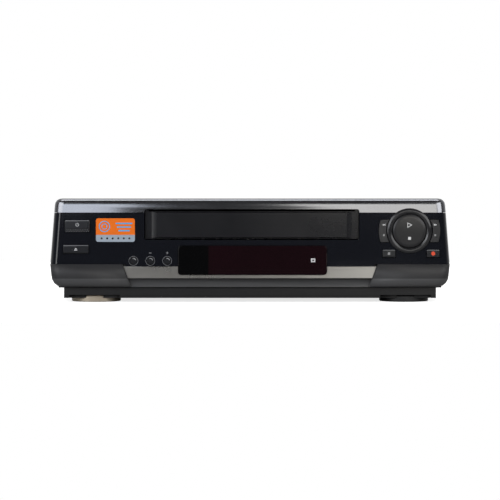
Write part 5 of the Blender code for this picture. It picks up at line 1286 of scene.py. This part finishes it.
@dataclass
class Back:
    """The rear panel and its sockets."""

    socket_height: float = 30.0 * MM
    scart_middles: Sequence[float] = (30.0 * MM, 82.0 * MM)
    contact_pitch: float = 3.8 * MM
    contact_count: int = 10
    contact_size: Place = (1.5 * MM, 8.0 * MM, 0.3 * MM)
    contact_depth: float = 7.2 * MM
    contact_shift: float = 0.9 * MM
    contact_rise: float = 1.7 * MM
    phono_middles: Sequence[float] = (-34.0 * MM, -20.0 * MM, -6.0 * MM)
    collar_bore: float = 4.3 * MM
    collar_radius: float = 6.0 * MM
    collar_rise: float = 1.2 * MM
    collar_round: float = 0.3 * MM
    collar_sides: int = 32

    def build(self) -> None:
        """Dresses the panel and the sockets and adds their contacts."""
        softened("rear_panel", CHASSIS)
        for node in ("scart_socket_1", "scart_socket_2", "phono_jacks", "ac_inlet"):
            softened(node, CONNECTOR)
        softened("tuner_block", ZINC)
        self.contacts()
        self.phono_rings()

    def contacts(self) -> None:
        """Sets two rows of contacts on each socket's tongue."""
        for number, middle in enumerate(self.scart_middles, 1):
            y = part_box(f"scart_socket_{number}")[1].y - self.contact_depth
            places = []
            for side in (-1, 1):
                z = self.socket_height + side * self.contact_rise
                for n in range(self.contact_count):
                    x = middle + (n - (self.contact_count - 1) / 2) * self.contact_pitch
                    places.append((x + side * self.contact_shift, y, z))
            blade = block(self.contact_size)
            Repeater(f"scart_contacts_{number}", blade, places, (0, 0, 1), STEEL, "chassis").build()

    def phono_rings(self) -> None:
        """Sets a coloured collar round each phono jack."""
        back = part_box("rear_panel")[1].y
        radius, rise, bend = self.collar_radius, self.collar_rise, self.collar_round
        outside = [(radius - bend, rise), (radius, rise - bend), (radius, 0)]
        profile = [(self.collar_bore, rise), *outside, (self.collar_bore, 0)]
        for x, finish in zip(self.phono_middles, COLLARS):
            collar = lathe(profile, self.collar_sides)
            turned = Matrix.Translation((x, back, self.socket_height)) @ Matrix.Rotation(-math.pi / 2, 4, "X")
            bmesh.ops.transform(collar, matrix=turned, verts=collar.verts)
            piece("phono_" + finish.name, collar, finish, "chassis")


@dataclass
class Mechanism:
    """Everything inside the case that the CAD already shapes."""

    finishes: Sequence[tuple[str, Finish]] = (
        ("front_board", BOARD), ("display_tube", TUBE), ("main_board", BOARD), ("power_board", BOARD),
        ("power_transformer", CORE), ("filter_capacitor", SLEEVE), ("heat_sink", ALUMINIUM),
        ("deck_plate", ZINC), ("drum_base", ALUMINIUM), ("drum_rotor", STEEL), ("capstan_motor", ZINC),
        ("capstan", STEEL), ("pinch_arm", ZINC), ("pinch_roller", RUBBER), ("supply_reel", IVORY),
        ("takeup_reel", IVORY), ("supply_guide", STEEL), ("takeup_guide", STEEL), ("tension_arm", ZINC),
        ("erase_head", STEEL), ("audio_head", STEEL), ("cassette_basket", ZINC), ("carriage", ZINC),
        ("bracket_left", ZINC), ("bracket_right", ZINC), ("loading_gear", IVORY), ("loading_belt", RUBBER),
        ("motor_pulley", IVORY), ("loading_motor", MOTOR_GREY),
    )

    def build(self) -> None:
        """Gives each inner piece its finish."""
        for node, finish in self.finishes:
            softened(node, finish)


# Studio

WHITE = (1, 1, 1, 1)


@dataclass(frozen=True)
class Lamp:
    """One soft lamp.

    Args:
        name: its name.
        place: where it hangs, in metres.
        aim: the point it faces.
        size: its width and height.
        power: its power in watts.
        colour: its tint.
    """

    name: str
    place: Place
    aim: Place
    size: Point
    power: float
    colour: Colour = (1.0, 1.0, 1.0)


# Broad lamps, and cards that the band, the door and the strip mirror
LAMPS = (
    Lamp("lamp_left", (-1.35, -1.1, 0.85), (0, 0, 0.05), (1.4, 1.1), 14.0, (0.96, 0.97, 1.0)),
    Lamp("lamp_right", (1.35, -1.2, 0.85), (0, 0, 0.05), (1.4, 1.1), 13.0),
    Lamp("lamp_top", (0, 0.25, 1.6), (0, 0.05, 0.05), (1.7, 0.7), 11.0),
    Lamp("card_left", (-0.255, -0.50, 0.19), (-0.235, -0.14, 0.11), (0.19, 0.20), 0.27, (0.88, 0.92, 1.0)),
    Lamp("card_side", (-0.50, -0.45, 0.06), (-0.085, -0.145, 0.065), (0.12, 0.16), 0.16),
    Lamp("card_low", (0.152, -0.30, 0.013), (0.14, -0.145, 0.019), (0.14, 0.018), 0.011),
    Lamp("card_right", (0.18, -0.50, 0.19), (0.175, -0.14, 0.11), (0.25, 0.20), 0.33, (1.0, 0.97, 0.90)),
)


@dataclass
class Studio:
    """The floor, the light and the camera."""

    lens: float = 146.6
    distance: float = 1800 * MM
    camera_height: float = 97 * MM
    target_height: float = 46.3 * MM
    floor_front: float = -0.42
    floor_back: float = 0.9
    floor_side: float = 6.0
    floor_tone: float = 0.86
    floor_bounce: float = 0.30
    floor_roughness: float = 0.8
    floor_gloss: float = 0.1
    lift: Point = (0.74, 1.0)
    lift_reach: Point = (0.35, 1.0)
    room: Point = (0.04, 0.55)
    room_reach: Point = (-0.3, 0.9)

    def build(self) -> None:
        """Sets up the floor, the world, the lamps and the camera."""
        self.floor()
        self.world()
        for lamp in LAMPS:
            self.hang(lamp)
        self.camera()
        bpy.context.scene.view_settings.view_transform = "Standard"

    def floor(self) -> None:
        """Lays a pale floor that looks white to the camera and keeps the recorder's shadow."""
        mesh = bpy.data.meshes.new("floor")
        near, far, side = self.floor_front, self.floor_back, self.floor_side
        corners = [(-side, near, 0), (side, near, 0), (side, far, 0), (-side, far, 0)]
        mesh.from_pydata(corners, [], [(0, 1, 2, 3)])
        floor = bpy.data.objects.new("floor", mesh)
        bpy.context.scene.collection.objects.link(floor)
        made = bpy.data.materials.new("floor_white")
        made.use_nodes = True
        tree = made.node_tree
        shader = tree.nodes["Principled BSDF"]
        shader.inputs["Roughness"].default_value = self.floor_roughness
        shader.inputs["Specular IOR Level"].default_value = self.floor_gloss
        shader.inputs["Emission Color"].default_value = WHITE
        seen = tree.nodes.new("ShaderNodeLightPath").outputs["Is Camera Ray"]
        mirrored, shown = ((tone, tone, tone, 1) for tone in (self.floor_bounce, self.floor_tone))
        tree.links.new(blend(tree, seen, mirrored, shown), shader.inputs["Base Color"])
        away = tree.nodes.new("ShaderNodeVectorMath")
        away.operation = "LENGTH"
        tree.links.new(tree.nodes.new("ShaderNodeTexCoord").outputs["Object"], away.inputs[0])
        glow = spread_over(tree, away.outputs["Value"], self.lift_reach, self.lift)
        tree.links.new(maths(tree, "MULTIPLY", seen, glow), shader.inputs["Emission Strength"])
        mesh.materials.append(made)

    def world(self) -> None:
        """Makes the backdrop white to the camera, with a darker room in front."""
        world = bpy.data.worlds.new("studio")
        bpy.context.scene.world = world
        world.use_nodes = True
        tree = world.node_tree
        shade = tree.nodes["Background"]
        way = axes(tree, tree.nodes.new("ShaderNodeTexCoord").outputs["Generated"])["Y"]
        room = spread_over(tree, way, self.room_reach, self.room, True)
        seen = tree.nodes.new("ShaderNodeLightPath").outputs["Is Camera Ray"]
        tree.links.new(maths(tree, "MAXIMUM", seen, room), shade.inputs["Strength"])
        shade.inputs["Color"].default_value = WHITE

    def hang(self, lamp: Lamp) -> None:
        """Hangs a soft lamp.

        Args:
            lamp: its place, size and power.
        """
        data = bpy.data.lights.new(lamp.name, "AREA")
        data.shape = "RECTANGLE"
        data.size, data.size_y = lamp.size
        data.energy = lamp.power
        data.color = lamp.colour
        hung = bpy.data.objects.new(lamp.name, data)
        bpy.context.scene.collection.objects.link(hung)
        hung.location = lamp.place
        hung.visible_camera = False
        way = Vector(lamp.aim) - Vector(lamp.place)
        hung.rotation_euler = way.to_track_quat("-Z", "Y").to_euler()

    def camera(self) -> None:
        """Stands the camera in front, a little above the top edge."""
        data = bpy.data.cameras.new("camera")
        data.lens = self.lens
        camera = bpy.data.objects.new("camera", data)
        bpy.context.scene.collection.objects.link(camera)
        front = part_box("face_plate")[0].y
        camera.location = (0, front - self.distance, self.camera_height)
        aim = Vector((0, front, self.target_height)) - camera.location
        camera.rotation_euler = aim.to_track_quat("-Z", "Y").to_euler()
        bpy.context.scene.camera = camera


def main() -> None:
    """Builds every assembly in order and reports it."""
    logging.basicConfig(level=logging.INFO, format="%(name)s: %(message)s")
    parts: Sequence[Assembly] = (
        Front(), Door(), Keys(), Dial(), Sticker(), Case(), Back(), Mechanism(), Studio(),
    )
    for part in parts:
        part.build()
        LOG.info("built: %s", type(part).__name__)


if __name__ == "__main__":
    main()
